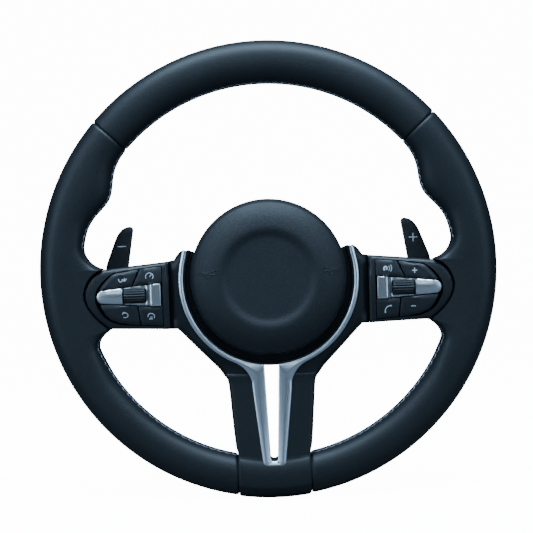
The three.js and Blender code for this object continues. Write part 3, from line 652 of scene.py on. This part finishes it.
SILVER_FRONT = -71.3
RING_INNER, RING_OUTER = 68.9, 72.9
RING_END = 20.5  # angle above level where the ring stops
FORK_OUTER = [(29.65, -74.1), (19.3, -78.9, 16.3, -90.2), (15.8, -98.2), (9.7, -153.6),
              (9.4, -158.4, 5.5, -158.6), (0, -158.6)]
FORK_INNER = [(6, -70), (5.75, -76.2), (2.7, -151.8), (2.55, -153.8, 1.4, -153.9), (0, -153.9)]


def resampled(points, count):
    """Places spaced evenly along a line."""
    lengths = [0.0]
    for a, b in zip(points, points[1:]):
        lengths.append(lengths[-1] + (b - a).length)
    places = []
    for i in range(count):
        at = lengths[-1] * i / (count - 1)
        k = max(j for j, length in enumerate(lengths[:-1]) if length <= at + 1e-9)
        t = (at - lengths[k]) / max(1e-9, lengths[k + 1] - lengths[k])
        places.append(points[k].lerp(points[k + 1], min(1.0, t)))
    return places


def silver_lines():
    """The inner and outer edges of the right half of the trim, with their stations paired."""

    def arc(radius, start, end, count):
        angles = [radians(start + (end - start) * i / (count - 1)) for i in range(count)]
        return [Vector((radius * cos(a), RING_Z + radius * sin(a))) for a in angles]

    outer = outline(FORK_OUTER, 1, 14)
    inner = outline(FORK_INNER, 1, 10)[1:]
    turn = [p for p in outer if p.y >= -90.3]
    prong = [p for p in outer if -153.7 <= p.y <= -90.1]
    lip = [p for p in outer if p.y <= -153.5]
    inner_prong = [p for p in inner if p.y >= -151.9]
    inner_lip = [p for p in inner if p.y <= -151.7]
    outer_line = arc(RING_OUTER, RING_END, -66, 64) + resampled(turn, 24)[1:]
    inner_line = arc(RING_INNER, RING_END + 0.5, -66, 64) + arc(RING_INNER, -66, -85.2, 24)[1:]
    for line, *parts in ((outer_line, prong, lip), (inner_line, inner_prong, inner_lip)):
        for part, count in zip(parts, (30, 16)):
            line += resampled(part, count)[1:]
    return inner_line, outer_line


def silver_mesh():
    bm = bmesh.new()
    inner, outer = silver_lines()
    # Share of the way from the inner edge to the outer one, and height above the edge, on ring and fork.
    ring = [(0, -3.2), (0, -0.4), (0.05, -0.1), (0.14, 0.1), (0.36, 0.45), (0.42, 0.5), (0.48, 0.46),
            (0.75, 0.1), (0.92, -0.25), (0.98, -0.5), (1, -0.9), (1, -3.2)]
    prong = [(0, -3.2), (0, -0.9), (0.03, -0.6), (0.1, -0.4), (0.5, 0.75), (0.56, 0.85), (0.62, 0.78),
             (0.85, 0.15), (0.94, -0.15), (0.98, -0.5), (1, -0.9), (1, -3.2)]
    end_height = 17.6
    rows = []
    for i, (a, b) in enumerate(zip(inner, outer)):
        t = ramp((i - 58) / 30)
        level = ramp(1 - i / 4)
        a.y += (end_height - a.y) * level
        b.y += (end_height - b.y) * level
        row = []
        for (s0, h0), (s1, h1) in zip(ring, prong):
            share, height = s0 + (s1 - s0) * t, h0 + (h1 - h0) * t
            at = a.lerp(b, share)
            row.append(bm.verts.new((at.x, SILVER_FRONT - lean(at.y) - height, at.y)))
        rows.append(row)
    for before, after in zip(rows, rows[1:]):
        for k in range(len(before) - 1):
            bm.faces.new((before[k], before[k + 1], after[k + 1], after[k]))
    bmesh.ops.mirror(bm, geom=bm.verts[:] + bm.edges[:] + bm.faces[:], axis="X", merge_dist=0.02)
    bmesh.ops.remove_doubles(bm, verts=bm.verts, dist=0.01)
    return bm


SATIN = finish("satin_plating", DRAWN, (0.74, 0.79, 0.86), (0.68, 0.73, 0.8), Roughness=0.3,
               Spread=0.06, Patch=500.0, Depth=0.000002, shader=dict(Metallic=1.0))
piece("silver_trim_face", silver_mesh(), SATIN, "wheel", ["silver_trim"], 60)

# ==== Rear cover and its screws ====
# A black moulded cover closes the back: a bowl round the column's end, and a flat panel behind each spoke
# stiffened by ribs. Four screws hold it to the pods and the lower rails.

REAR_SIDE = [(55, 7.8), (80.6, 7.8), (112, 5), (126.4, 3.4), (126.4, -43.2), (80.6, -44.9), (74, -44.9),
             (43.2, -77.6), (35.2, -88), (30, -146), (0, -146)]
BOWL = [(63.4, -49.6), (63.4, -44.5), (62.9, -40), (61, -33), (57.8, -20), (56.2, -14), (54, -10.2),
        (50.5, -8.2), (46, -8), (38, -8.6), (34, -8.6), (32, -8), (30.4, -8.3), (30, -9), (30, -10.4),
        (49, -10.3), (54, -14.5), (61.4, -44), (61.4, -49.6), (63.4, -49.6)]
REAR_SLOT = [(-7.4, -60), (7.4, -60), (4.2, -153), (2.6, -155.4), (-2.6, -155.4), (-4.2, -153)]
BLACK_PLASTIC = finish("rear_plastic", MOULDED, (0.016, 0.017, 0.019),
                       (0.022, 0.023, 0.026), Roughness=0.55, Spread=0.12, Patch=50.0, Grain=1500.0,
                       Depth=0.00009)
rear = bmesh.new()
half = outline(REAR_SIDE)
face_points = half + [Vector((-p.x, p.y)) for p in reversed(half[:-1])]
slab(rear, face_points, -47.2, -45)
rear_panel = piece("rear_panel", rear, BLACK_PLASTIC, "wheel", ["rear_cover"])
well = bmesh.new()
bmesh.ops.create_cone(well, cap_ends=True, segments=96, radius1=62.4, radius2=62.4, depth=40,
                      matrix=Matrix.Translation((0, -45, RING_Z)) @ Matrix.Rotation(pi / 2, 4, "X"))
cut(rear_panel, raw_object("rear_well", well))
slot_cutter = bmesh.new()
slab(slot_cutter, [Vector(p) for p in REAR_SLOT], -60, -30)
cut(rear_panel, raw_object("rear_slot", slot_cutter))
bowl = bmesh.new()
turned(bowl, BOWL, (0, RING_Z))
for i in range(16):
    angle = radians(22.5 * i + 11)
    place = Matrix.Translation((0, 0, RING_Z)) @ Matrix.Rotation(-angle, 4, "Y")
    place @= Matrix.Translation((57.6, -32, 0)) @ Matrix.Rotation(radians(16), 4, "Z")
    bmesh.ops.create_cube(bowl, size=1, matrix=place @ Matrix.Diagonal((4.5, 26, 1.4, 1)))
for side in (-1, 1):
    for ends, heights in (((99, 123), (-8, -18, -28)), ((9.5, 28), (-92, -104, -137))):
        low, high = sorted(side * x for x in ends)
        for z in heights:
            block(bowl, (low, -45.2, z - 0.6), (high, -44.1, z + 0.6))
piece("rear_bowl_and_ribs", bowl, BLACK_PLASTIC, "wheel")
repaint([f"rear_screw_{i}" for i in range(1, 5)], STEEL)

# ==== Airbag module ====
# The cover is grained soft plastic over a steel pan that holds the folded white nylon bag and its round
# gas generator. Three guide pins and coil springs let the whole module be pressed to sound the horn.

COVER_Z = -6.1
COVER_PROFILE = [(0, -81.7), (12, -81.75), (22, -81.85), (30, -82), (32.5, -82.15), (34.5, -82.6),
                 (36.5, -83.3), (38.5, -83.8), (40.5, -83.9), (43, -83.6), (47, -82.7), (51, -81.4),
                 (55, -79.6), (58, -77.9), (59.6, -76.8), (60.3, -76.1), (61, -75), (62, -73),
                 (62.8, -70.4), (63.3, -67), (63.4, -62)]


def dome_depth(x, z):
    """Depth of the cover's face at a place."""
    radius = hypot(x, z - COVER_Z)
    for (r0, y0), (r1, y1) in zip(COVER_PROFILE, COVER_PROFILE[1:]):
        if radius <= r1:
            t = (radius - r0) / (r1 - r0)
            return y0 + (y1 - y0) * (ramp(t) + t) / 2
    return COVER_PROFILE[-1][1]


def curve(points, steps=10):
    """A smooth line through a few places."""
    full = [Vector(points[0]), *map(Vector, points), Vector(points[-1])]
    line = []
    for a, b, c, d in zip(full, full[1:], full[2:], full[3:]):
        for i in range(steps):
            t = i / steps
            line.append(0.5 * ((2 * b) + (c - a) * t + (2 * a - 5 * b + 4 * c - d) * t * t
                               + (3 * b - a - 3 * c + d) * t ** 3))
    return line + [Vector(points[-1])]


AIRBAG_SKIN = finish("grained_airbag_skin", HIDE, (0.0075, 0.0098, 0.013), (0.0095, 0.0125, 0.0165),
                     Roughness=0.56, Spread=0.1, Patch=45.0, Cells=1250.0, Depth=0.00011,
                     shader=dict(Specular_IOR_Level=0.5))
cover = bmesh.new()
front_line = [(max(0.0, p.x), p.y) for p in curve(COVER_PROFILE, 4)]
turned(cover, [*front_line, (60.4, -62), (60.4, -71), (52, -76), (0, -78.6)], (0, COVER_Z), steps=144)
piece("airbag_cover_skin", cover, AIRBAG_SKIN, "airbag_module", ["airbag_cover"], 60)


def stroke(bm, line, width, depth_at, raised=0.12, taper=1.0):
    """A thin raised line along points in X and Z. depth_at gives the depth of the surface that it lies on."""
    line = [Vector(p) for p in line]
    rows = []
    for i, here in enumerate(line):
        ahead = (line[min(i + 1, len(line) - 1)] - line[max(i - 1, 0)]).normalized()
        across = Vector((-ahead.y, ahead.x)) * width / 2 * (1 + (taper - 1) * i / (len(line) - 1))
        row = []
        for offset, lift in ((-1, -0.25), (-0.8, raised * 0.8), (0, raised), (0.8, raised * 0.8), (1, -0.25)):
            p = here + across * offset
            row.append(bm.verts.new((p.x, depth_at(p.x, p.y) - lift, p.y)))
        rows.append(row)
    for a, b in zip(rows, rows[1:]):
        for k in range(4):
            bm.faces.new((a[k], b[k], b[k + 1], a[k + 1]))
    bm.faces.new(rows[0][::-1])
    bm.faces.new(rows[-1])


horns = bmesh.new()
for side, x in ((-1, -48), (1, 50)):
    lines = [[(-6.5, 0.8), (-2, 0.5), (3, 1.0), (6, 2.4)], [(-6.5, -0.6), (-3, -0.8), (0.5, -0.6)],
             [(6, 2.4), (6.8, 0.6), (6, -1.6)], [(6, -1.6), (2, -0.9), (-2.5, -0.6)],
             [(-2, -0.9), (-2.6, -2.6), (-0.5, -3.6), (2, -3), (2.2, -1.2)],
             [(-6.5, 0.8), (-6.9, 0.1), (-6.5, -0.6)]]
    for line in lines:
        stroke(horns, curve([(x - side * px, -1 + pz) for px, pz in line], 6), 0.9, dome_depth, 0.4)
piece("horn_pictograms", horns, AIRBAG_SKIN, "airbag_module", sharp_over=70)

NYLON = finish("woven_nylon", DRAWN, (0.72, 0.71, 0.68), (0.62, 0.61, 0.58), Roughness=0.85,
               Spread=0.1, Patch=900.0, Depth=0.0001, shader=dict(Sheen_Weight=0.4))
bag = bmesh.new()
BAG_RADIUS = 52
folds = [(0, -78.2)]
for i in range(14):
    radius = 3.4 + 3.4 * i
    folds += [(radius - 1.6, -77.9 + 0.08 * i), (radius, -76.4 + 0.1 * i), (radius + 0.2, -76.4 + 0.1 * i)]
folds += [(51.4, -74.2), (BAG_RADIUS, -70), (51.4, -66), (49, -62.3), (0, -62.3)]
turned(bag, folds, (0, COVER_Z), steps=72)
for v in bag.verts:
    angle = atan2(v.co.z - COVER_Z, v.co.x)
    away = hypot(v.co.x, v.co.z - COVER_Z) / BAG_RADIUS
    v.co.y += away * (1 - away) * 1.2 * (sin(7 * angle) + 0.6 * sin(17 * angle + 1))
folded = piece("folded_nylon_bag", bag, NYLON, "airbag_module", ["folded_airbag"], 50)
repaint(["airbag_pan", "gas_generator", "horn_pin_1", "horn_pin_2", "horn_pin_3"], STEEL)


def coil(bm, centre, radius, wire, start, end, turns, axis):
    """A round wire wound along Y or Z, between two places on that axis, with closed ends."""
    steps = int(turns * 20)
    rings = []
    for i in range(steps + 1):
        t = i / steps
        angle = 2 * pi * turns * t
        around = Vector((cos(angle), sin(angle)))
        at = start + wire + (end - start - 2 * wire) * t
        ring = []
        for k in range(6):
            c, s = wire * cos(k * pi / 3), wire * sin(k * pi / 3)
            flat = around * (radius + c)
            place = (flat.x, at + s, flat.y) if axis == "Y" else (flat.x, flat.y, at + s)
            ring.append(bm.verts.new(Vector(centre) + Vector(place)))
        rings.append(ring)
    for a, b in zip(rings, rings[1:]):
        for k in range(6):
            bm.faces.new((a[k], a[(k + 1) % 6], b[(k + 1) % 6], b[k]))
    bm.faces.new(rings[0])
    bm.faces.new(rings[-1][::-1])


for i in (1, 2, 3):
    low, high = (corner / MM for corner in map(Vector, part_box(f"horn_spring_{i}")))
    spring = bmesh.new()
    centre = ((low.x + high.x) / 2, 0, (low.z + high.z) / 2)
    coil(spring, centre, (high.x - low.x) / 2 - 0.7, 0.6, low.y, high.y, 6, "Y")
    made = raw_object(f"horn_coil_{i}", spring)
    made.data.materials.append(STEEL)
    shade(made.data, 60)
    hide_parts(f"horn_spring_{i}")
    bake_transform(made)

# ==== Switch pods ====
# Each side spoke carries a black moulded housing, let into the rim, with four matt buttons round a plated
# bezel. A ridged roller turns on a steel axle in the bezel's window, over a small circuit board.
# Pictograms are printed in light grey.

POCKET = [(85.4, 6.4), (104.5, 4.4), (124.6, 1.6), (135.5, -4.8, 139.4, -14.2), (139.8, -21.2), (135.4,
          -38.2, 118.4, -40.8), (85.4, -43)]
BEZEL = [(87.2, -8), (118.4, -10.9), (134.8, -12.8), (138.6, -13.6, 138.4, -18.2), (138, -22.6, 134.8,
         -22.9), (95.7, -25.8), (86.9, -25.9)]
BUTTONS = {
    "upper_inner": [(86, 5.7), (103.2, 4), (109.3, -9.5), (86, -7.3)],
    "upper_outer": [(104.2, 3.9), (122.5, 1.2), (126, 0.6, 128, -1.8), (133.5, -6.8, 136.4, -12.3),
                    (118.4, -10.3), (110.2, -9.6)],
    "lower_inner": [(86, -26.6), (95.7, -26.5), (105.2, -25.8), (103.6, -41.4), (86, -42.3)],
    "lower_outer": [(106, -25.7), (135.6, -23.6), (134.4, -30.4, 128.4, -35.9), (120.4, -40.4, 104.4,
                    -41.3)],
}
RIDGE = BUTTONS["upper_outer"][:4]  # the corner's upper edge, which has a raised line beside it
POD_MIDDLE = -17
BUTTON_FRONT = -71.9


def pod_crown(x, z, distance=0.0):
    """The pod's face falls back above and below its middle, and towards its outer end."""
    across = (z - POD_MIDDLE) / 26
    outer = max(0.0, (abs(x) - 122) / 26)
    return 2.4 * across * across * min(1.0, (abs(x) - 70) / 20) + 1.3 * outer ** 2 - 2.0


def housing_crown(x, z, distance):
    """The housing also rolls back along its upper edge, and its outer end stands a little prouder."""
    upper = ramp((z + 12) / 14) * max(0.0, 1 - distance / 3.6) ** 1.5
    return pod_crown(x, z) + 1.5 * upper - 0.9 * ramp((abs(x) - 128) / 12)


def upper_outer_crown(x, z, distance):
    away = edge_distance(Vector((abs(x), z)), outline(RIDGE), False)
    starts = ramp((abs(x) - 104) / 10)
    ridge = exp(-(((away - 2.3) / 0.75) ** 2))
    return pod_crown(x, z) + starts * (0.35 * ramp((2.0 - away) / 1.2) - 0.55 * ridge)


def bezel_crown(x, z, distance):
    """A rounded outer wing, a facet that leads down to the roller, and a flat inner end."""
    x = abs(x)
    across = (z - POD_MIDDLE) / 7.5
    wing = ramp((x - 117) / 2)
    facet = ramp((x - 94) / 5.5) * (1 - ramp((x - 116) / 2))
    tip = max(0.0, (x - 128) / 10)
    return (2.3 * across * across + 1.2 * tip * tip) * wing + 3.2 * facet - 0.8


POD_PLASTIC = finish("pod_plastic", MOULDED, (0.006, 0.0075, 0.0105), (0.008, 0.01, 0.0135),
                     Roughness=0.42, Spread=0.1, Patch=60.0, Grain=2600.0, Depth=0.00003,
                     shader=dict(Specular_IOR_Level=0.5))
BUTTON_PLASTIC = finish("button_plastic", MOULDED, (0.008, 0.01, 0.0135),
                        (0.0105, 0.013, 0.0175), Roughness=0.45, Spread=0.08, Patch=80.0, Grain=3200.0,
                        Depth=0.00003)
PRINT = finish("printed_ink", MOULDED, (0.62, 0.66, 0.72),
               (0.5, 0.54, 0.6), Roughness=0.5, Spread=0.1, Patch=900.0, Grain=4000.0, Depth=0.00001)
BEZEL_METAL = finish("bezel_plating", DRAWN, (0.8, 0.83, 0.87), (0.72, 0.75, 0.8), Roughness=0.31,
                     Spread=0.06, Patch=400.0, Depth=0.000001, shader=dict(Metallic=1.0))
GREEN_BOARD = finish("circuit_board", MOULDED, (0.01, 0.06, 0.03),
                     (0.02, 0.09, 0.05), Roughness=0.4, Spread=0.2, Patch=700.0, Grain=1500.0, Depth=0.00005)
PICTOGRAMS = {
    "right_upper_inner": [([(-2.6, -1.6), (-2.9, 0.2), (-1.8, 1.6), (-0.6, 0.6), (-0.9, -1.2)], 1.5),
                          ([(0.9, -1.9), (1.6, 0.1), (0.9, 2)], 0.7),
                          ([(2.4, -2.6), (3.4, 0.1), (2.4, 2.8)], 0.7)],
    "right_upper_outer": [([(-2.1, 0), (2.1, 0)], 0.9), ([(0, -2.1), (0, 2.1)], 0.9)],
    "right_lower_inner": [([(-2.3, -2.8), (-2.2, -0.4), (-0.4, 1.7), (2.3, 2.5)], 0.9),
                          ([(-2.9, -2.9), (-1.7, -2.6)], 1.3), ([(1.9, 3), (2.6, 1.8)], 1.3)],
    "right_lower_outer": [([(-1.9, 0), (1.9, 0)], 0.8)],
    "left_upper_outer": [([(-3.2, 0.8), (-2.4, -1.4), (-0.6, -1.4), (-0.2, 0.6)], 0.7),
                         ([(0.4, 0.6), (1.6, -1.2), (3.2, 0.9)], 0.7), ([(1.6, -1.2), (1.6, 1.6)], 0.6)],
    "left_upper_inner": [([(-2.7, -1.8), (-3, 0.3), (-1.6, 2.2), (0.6, 2.6), (2.6, 1.4), (3, -0.8),
                           (2.2, -2)], 0.7),
                         ([(0, -0.4), (1.7, 1.2)], 0.7)],
    "left_lower_outer": [([(-2.4, 1.8), (-0.4, 2), (1.4, 1), (1.6, -0.6), (0, -1.9), (-2, -1.6)], 0.7),
                         ([(-2.9, 0.6), (-2.3, 1.9), (-1, 2.7)], 0.6)],
    "left_lower_inner": [([(-2.8, -0.4), (-1.9, 1.9), (0.5, 2.5), (2.6, 0.9), (2.2, -1.6)], 0.7),
                         ([(-1.6, -1.9), (1.2, -1.9)], 0.8), ([(-1, -0.4), (1, -0.4)], 0.7)],
}
PRINT_PLACES = {"upper_inner": 95.6, "upper_outer": 117.2, "lower_inner": 95.2, "lower_outer": 115.5}
PRINT_HEIGHTS = {"upper_inner": -2.0, "upper_outer": -4.2, "lower_inner": -34.4, "lower_outer": -32.8}


ROLLER_START, ROLLER_END, ROLLER_MIDDLE = 99.6, 116.6, 108.1
ROLLER_Y, ROLLER_Z = -69.3, -17.4
ROLLER_SIDES = 128


def roller_mesh(side):
    """A waisted drum with rounded lengthwise ridges and a bore."""
    bm = bmesh.new()
    lengths = [ROLLER_START, 99.9, 100.5, 102.5, 105, ROLLER_MIDDLE, 111.2, 113.7, 115.7, 116.3, ROLLER_END]

    def ring_at(x, radius_at):
        angles = [2 * pi * k / ROLLER_SIDES for k in range(ROLLER_SIDES)]
        return [bm.verts.new((side * x, ROLLER_Y + radius_at(a) * cos(a), ROLLER_Z + radius_at(a) * sin(a)))
                for a in angles]

    def ridged(x):
        end = min(x - ROLLER_START, ROLLER_END - x)
        waist = 0.35 * (1 - ((x - ROLLER_MIDDLE) / 8.5) ** 2)
        return lambda a: (6.25 - waist - 0.8 * (0.5 - 0.5 * cos(16 * a)) ** 2 * ramp(end / 1.2)
                          - fillet(end, 0.9))

    def bore(a):
        return 1.35

    rings = [ring_at(x, ridged(x)) for x in lengths]
    joined = list(zip(rings, rings[1:]))
    joined += [(ring, ring_at(x, bore)) for ring, x in ((rings[0], ROLLER_START), (rings[-1], ROLLER_END))]
    for a, b in joined:
        for k in range(ROLLER_SIDES):
            after = (k + 1) % ROLLER_SIDES
            bm.faces.new((a[k], a[after], b[after], b[k]))
    return bm


for side, name in ((-1, "left"), (1, "right")):
    housing = bmesh.new()
    panel(housing, outline(POD_OUTLINE, side, 12), -71.4, -47.5, 1.2, housing_crown, 1.5)
    housing = piece(f"{name}_pod_housing", housing, POD_PLASTIC, "wheel",
                    [f"{name}_switch_housing"])
    pocket = bmesh.new()
    slab(pocket, outline(POCKET, side, 12), -90, -59.1)
    cut(housing, raw_object("pocket_cutter", pocket))
    repaint([f"{name}_switch_board"], GREEN_BOARD)
    repaint([f"{name}_roller_axle"], STEEL)
    for place, corners in BUTTONS.items():
        cap, node = bmesh.new(), f"{name}_button_{place}"
        shape = grown(outline(corners, side, 12), -0.12)
        crown = upper_outer_crown if place == "upper_outer" else pod_crown
        rings = (0.1, 0.2, 0.35, 0.6, 0.8, 0.8, 0.8) if place == "upper_outer" else (0.1, 0.2, 0.35, 0.45)
        panel(cap, shape, BUTTON_FRONT, -62.6, 0.8, crown, 2.2, rings)
        piece(f"{name}_button_{place}_cap", cap, BUTTON_PLASTIC, node, [node])
        ink = bmesh.new()
        x0, z0 = side * PRINT_PLACES[place], PRINT_HEIGHTS[place]
        for line, width in PICTOGRAMS[f"{name}_{place}"]:
            shifted = [(x0 + px, z0 + pz) for px, pz in line]
            smooth = curve(shifted, 6) if len(shifted) > 2 else shifted
            stroke(ink, smooth, width, lambda x, z: BUTTON_FRONT + crown(x, z, 9), 0.05)
        piece(f"{name}_print_{place}", ink, PRINT, node)
    frame_mesh = bmesh.new()
    panel(frame_mesh, outline(BEZEL, side, 12), -73.9, -67.4, 0.3, bezel_crown, 0.8, (0.3, 0.7))
    bezel = piece(f"{name}_bezel_plating", frame_mesh, BEZEL_METAL, "wheel", [f"{name}_bezel"])
    window = bmesh.new()
    low, high = sorted((side * 98.9, side * 117.5))
    block(window, (low, -90, -23.5), (high, -50, -11.7))
    cut(bezel, raw_object("window_cutter", window))
    piece(f"{name}_roller_drum", roller_mesh(side), BUTTON_PLASTIC, f"{name}_roller",
          [f"{name}_roller"], 60)

# ==== Shift paddles ====
# Two moulded paddles behind the side spokes, plus on the right and minus on the left, each turning on a
# steel pin between the ears of a bracket. A torsion spring returns it and it presses a small switch.

BLADE = [(76, -13.4), (98, -11.5), (112, -10, 116.6, 2), (111.4, 34.2), (110.6, 38.2, 113.8, 38.8), (122.4,
         38.8, 127.2, 26), (134.2, 8), (137.6, -6, 134, -17), (128, -28, 114, -29), (76, -30.2)]
BLADE_FRONT = -39
PIN_X, PIN_Y = 74, -37.5
PADDLE_PLASTIC = finish("paddle_plastic", DRAWN, (0.006, 0.0078, 0.01),
                        (0.01, 0.013, 0.0165), Roughness=0.48, Spread=0.16, Patch=900.0, Depth=0.00003)


def paddle_crown(x, z, distance):
    """The horn's face is slightly dished across for the fingertips."""
    middle = 124 - (z + 6) * 0.14
    return -0.25 * min(1.0, ((abs(x) - middle) / 9) ** 2) * ramp((z - 5) / 15)


for side, name in ((-1, "left"), (1, "right")):
    blade = bmesh.new()
    panel(blade, outline(BLADE, side, 10), BLADE_FRONT, -35.6, 1.1, paddle_crown, 3.0)
    bmesh.ops.create_cone(blade, cap_ends=True, segments=32, radius1=4, radius2=4, depth=16.8,
                          matrix=Matrix.Translation((side * PIN_X, PIN_Y, -21.8)))
    body = f"{name}_paddle"
    piece(f"{name}_paddle_blade", blade, PADDLE_PLASTIC, body, [body])
    ink = bmesh.new()
    x0 = side * 121
    signs = [[(x0 - 3.6, 22.4), (x0 + 3.6, 22.4)], [(x0, 18.8), (x0, 26)]]
    for line in signs if side > 0 else signs[:1]:
        stroke(ink, line, 1.0, lambda x, z: BLADE_FRONT + paddle_crown(x, z, 9), 0.06)
    piece(f"{name}_paddle_print", ink, PRINT, body)
    spring = bmesh.new()
    low, high = (Vector(corner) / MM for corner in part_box(f"{name}_paddle_spring"))
    coil(spring, (side * PIN_X, PIN_Y, 0), 2.75, 0.5, low.z, high.z, 4, "Z")
    piece(f"{name}_paddle_coil", spring, STEEL, "wheel", [f"{name}_paddle_spring"], 60)
    repaint([f"{name}_paddle_bracket", f"{name}_paddle_pin"], STEEL)
    repaint([f"{name}_paddle_switch"], BLACK_PLASTIC)

# ==== Wiring ====
# A yellow-brown connector on the hub takes one black lead from each pod, round the hub plate.

CONNECTOR = finish("connector_plastic", MOULDED, (0.55, 0.33, 0.05),
                   (0.48, 0.28, 0.04), Roughness=0.45, Spread=0.1, Patch=120.0, Grain=1800.0, Depth=0.00004)
CABLE = finish("cable_sheath", MOULDED, (0.012, 0.012, 0.013),
               (0.02, 0.02, 0.022), Roughness=0.6, Spread=0.1, Patch=300.0, Grain=2500.0, Depth=0.00004)
repaint(["harness_connector"], CONNECTOR)
repaint(["left_harness_lead", "right_harness_lead"], CABLE)

# ==== Studio ====
# A pale paper sweep under and behind the wheel, a large soft panel above it, a tall soft panel on each
# side and a strip in front. The camera faces the wheel from just above its middle, rolled very slightly.

FLOOR_Z = cad_bounds[0][2] - 0.0005
SWEEP_START, SWEEP_RADIUS = 1.2, 0.6
SWEEP_STEPS = 12


def emitter(name, place, target, size, power, colour):
    lamp = bpy.data.lights.new(name, "AREA")
    lamp.shape = "RECTANGLE"
    lamp.size, lamp.size_y = size
    lamp.energy = power
    lamp.color = colour
    made = bpy.data.objects.new(name, lamp)
    made.location = place
    made.rotation_euler = (Vector(target) - Vector(place)).to_track_quat("-Z", "Y").to_euler()
    bpy.context.scene.collection.objects.link(made)


bm = bmesh.new()
side_line = [(-2.0, FLOOR_Z)]
for i in range(SWEEP_STEPS + 1):
    a = pi / 2 * i / SWEEP_STEPS
    side_line.append((SWEEP_START + SWEEP_RADIUS * sin(a), FLOOR_Z + SWEEP_RADIUS * (1 - cos(a))))
side_line.append((SWEEP_START + SWEEP_RADIUS, FLOOR_Z + 3))
line = [bm.verts.new((-2.5, y, z)) for y, z in side_line]
edges = [bm.edges.new(pair) for pair in zip(line, line[1:])]
across = bmesh.ops.extrude_edge_only(bm, edges=edges)["geom"]
bmesh.ops.translate(bm, verts=[v for v in across if isinstance(v, bmesh.types.BMVert)], vec=(5, 0, 0))
mesh = bpy.data.meshes.new("studio_floor")
bm.to_mesh(mesh)
bm.free()
mesh.shade_smooth()
floor_object = bpy.data.objects.new("studio_floor", mesh)
bpy.context.scene.collection.objects.link(floor_object)
PAPER = finish("pale_paper", MOULDED, (0.86, 0.87, 0.88), (0.84, 0.85, 0.86), Roughness=0.85,
               Spread=0.05, Patch=3.0, Grain=400.0, Depth=0.00005,
               shader=dict(Emission_Color=(1, 1, 1, 1)))
tree = PAPER.node_tree
seen = add_node(tree, "ShaderNodeLightPath").outputs["Is Camera Ray"]
sockets = tree.nodes["Principled BSDF"].inputs
tree.links.new(maths(tree, "MULTIPLY", seen, 14.0), sockets["Emission Strength"])
paper_colour = sockets["Base Color"].links[0].from_socket
shown = add_node(tree, "ShaderNodeMixRGB", seen, (0.12, 0.125, 0.13, 1), paper_colour)
tree.links.new(shown.outputs[0], sockets["Base Color"])
mesh.materials.append(PAPER)

world = bpy.data.worlds.new("studio")
bpy.context.scene.world = world
world.use_nodes = True
background = world.node_tree.nodes["Background"].inputs
background["Color"].default_value = (0.6, 0.8, 1.0, 1)
background["Strength"].default_value = 0.04
emitter("overhead", (0.0, -0.45, 1.05), (0, -0.06, 0), (1.2, 0.6), 30, (0.56, 0.78, 1.0))
emitter("left_side", (-1.1, -1.0, 0.25), (0, -0.06, 0), (0.35, 1.3), 9, (0.54, 0.77, 1.0))
emitter("right_side", (1.1, -1.1, 0.2), (0, -0.06, 0), (0.3, 1.3), 6, (0.54, 0.77, 1.0))
emitter("front_strip", (0.0, -2.2, 0.9), (0, 0, 0), (1.6, 0.25), 6, (0.62, 0.82, 1.0))

DISTANCE = 0.95
VIEW_WIDTH = 0.4325  # metres across the picture, at the wheel
ELEVATION = radians(1.5)
target = Vector((0, -0.062, 0.0))
camera = bpy.data.cameras.new("camera")
camera.sensor_width = 36
camera.lens = camera.sensor_width * DISTANCE / VIEW_WIDTH
camera.shift_x, camera.shift_y = -0.0034, 0.0055
viewer = bpy.data.objects.new("camera", camera)
viewer.location = target + Vector((0, -cos(ELEVATION), sin(ELEVATION))) * DISTANCE
aim = (target - viewer.location).to_track_quat("-Z", "Y").to_matrix().to_4x4()
viewer.matrix_world = Matrix.Translation(viewer.location) @ aim @ Matrix.Rotation(radians(-1.9), 4, "Z")
bpy.context.scene.collection.objects.link(viewer)
bpy.context.scene.camera = viewer

bpy.context.view_layer.update()
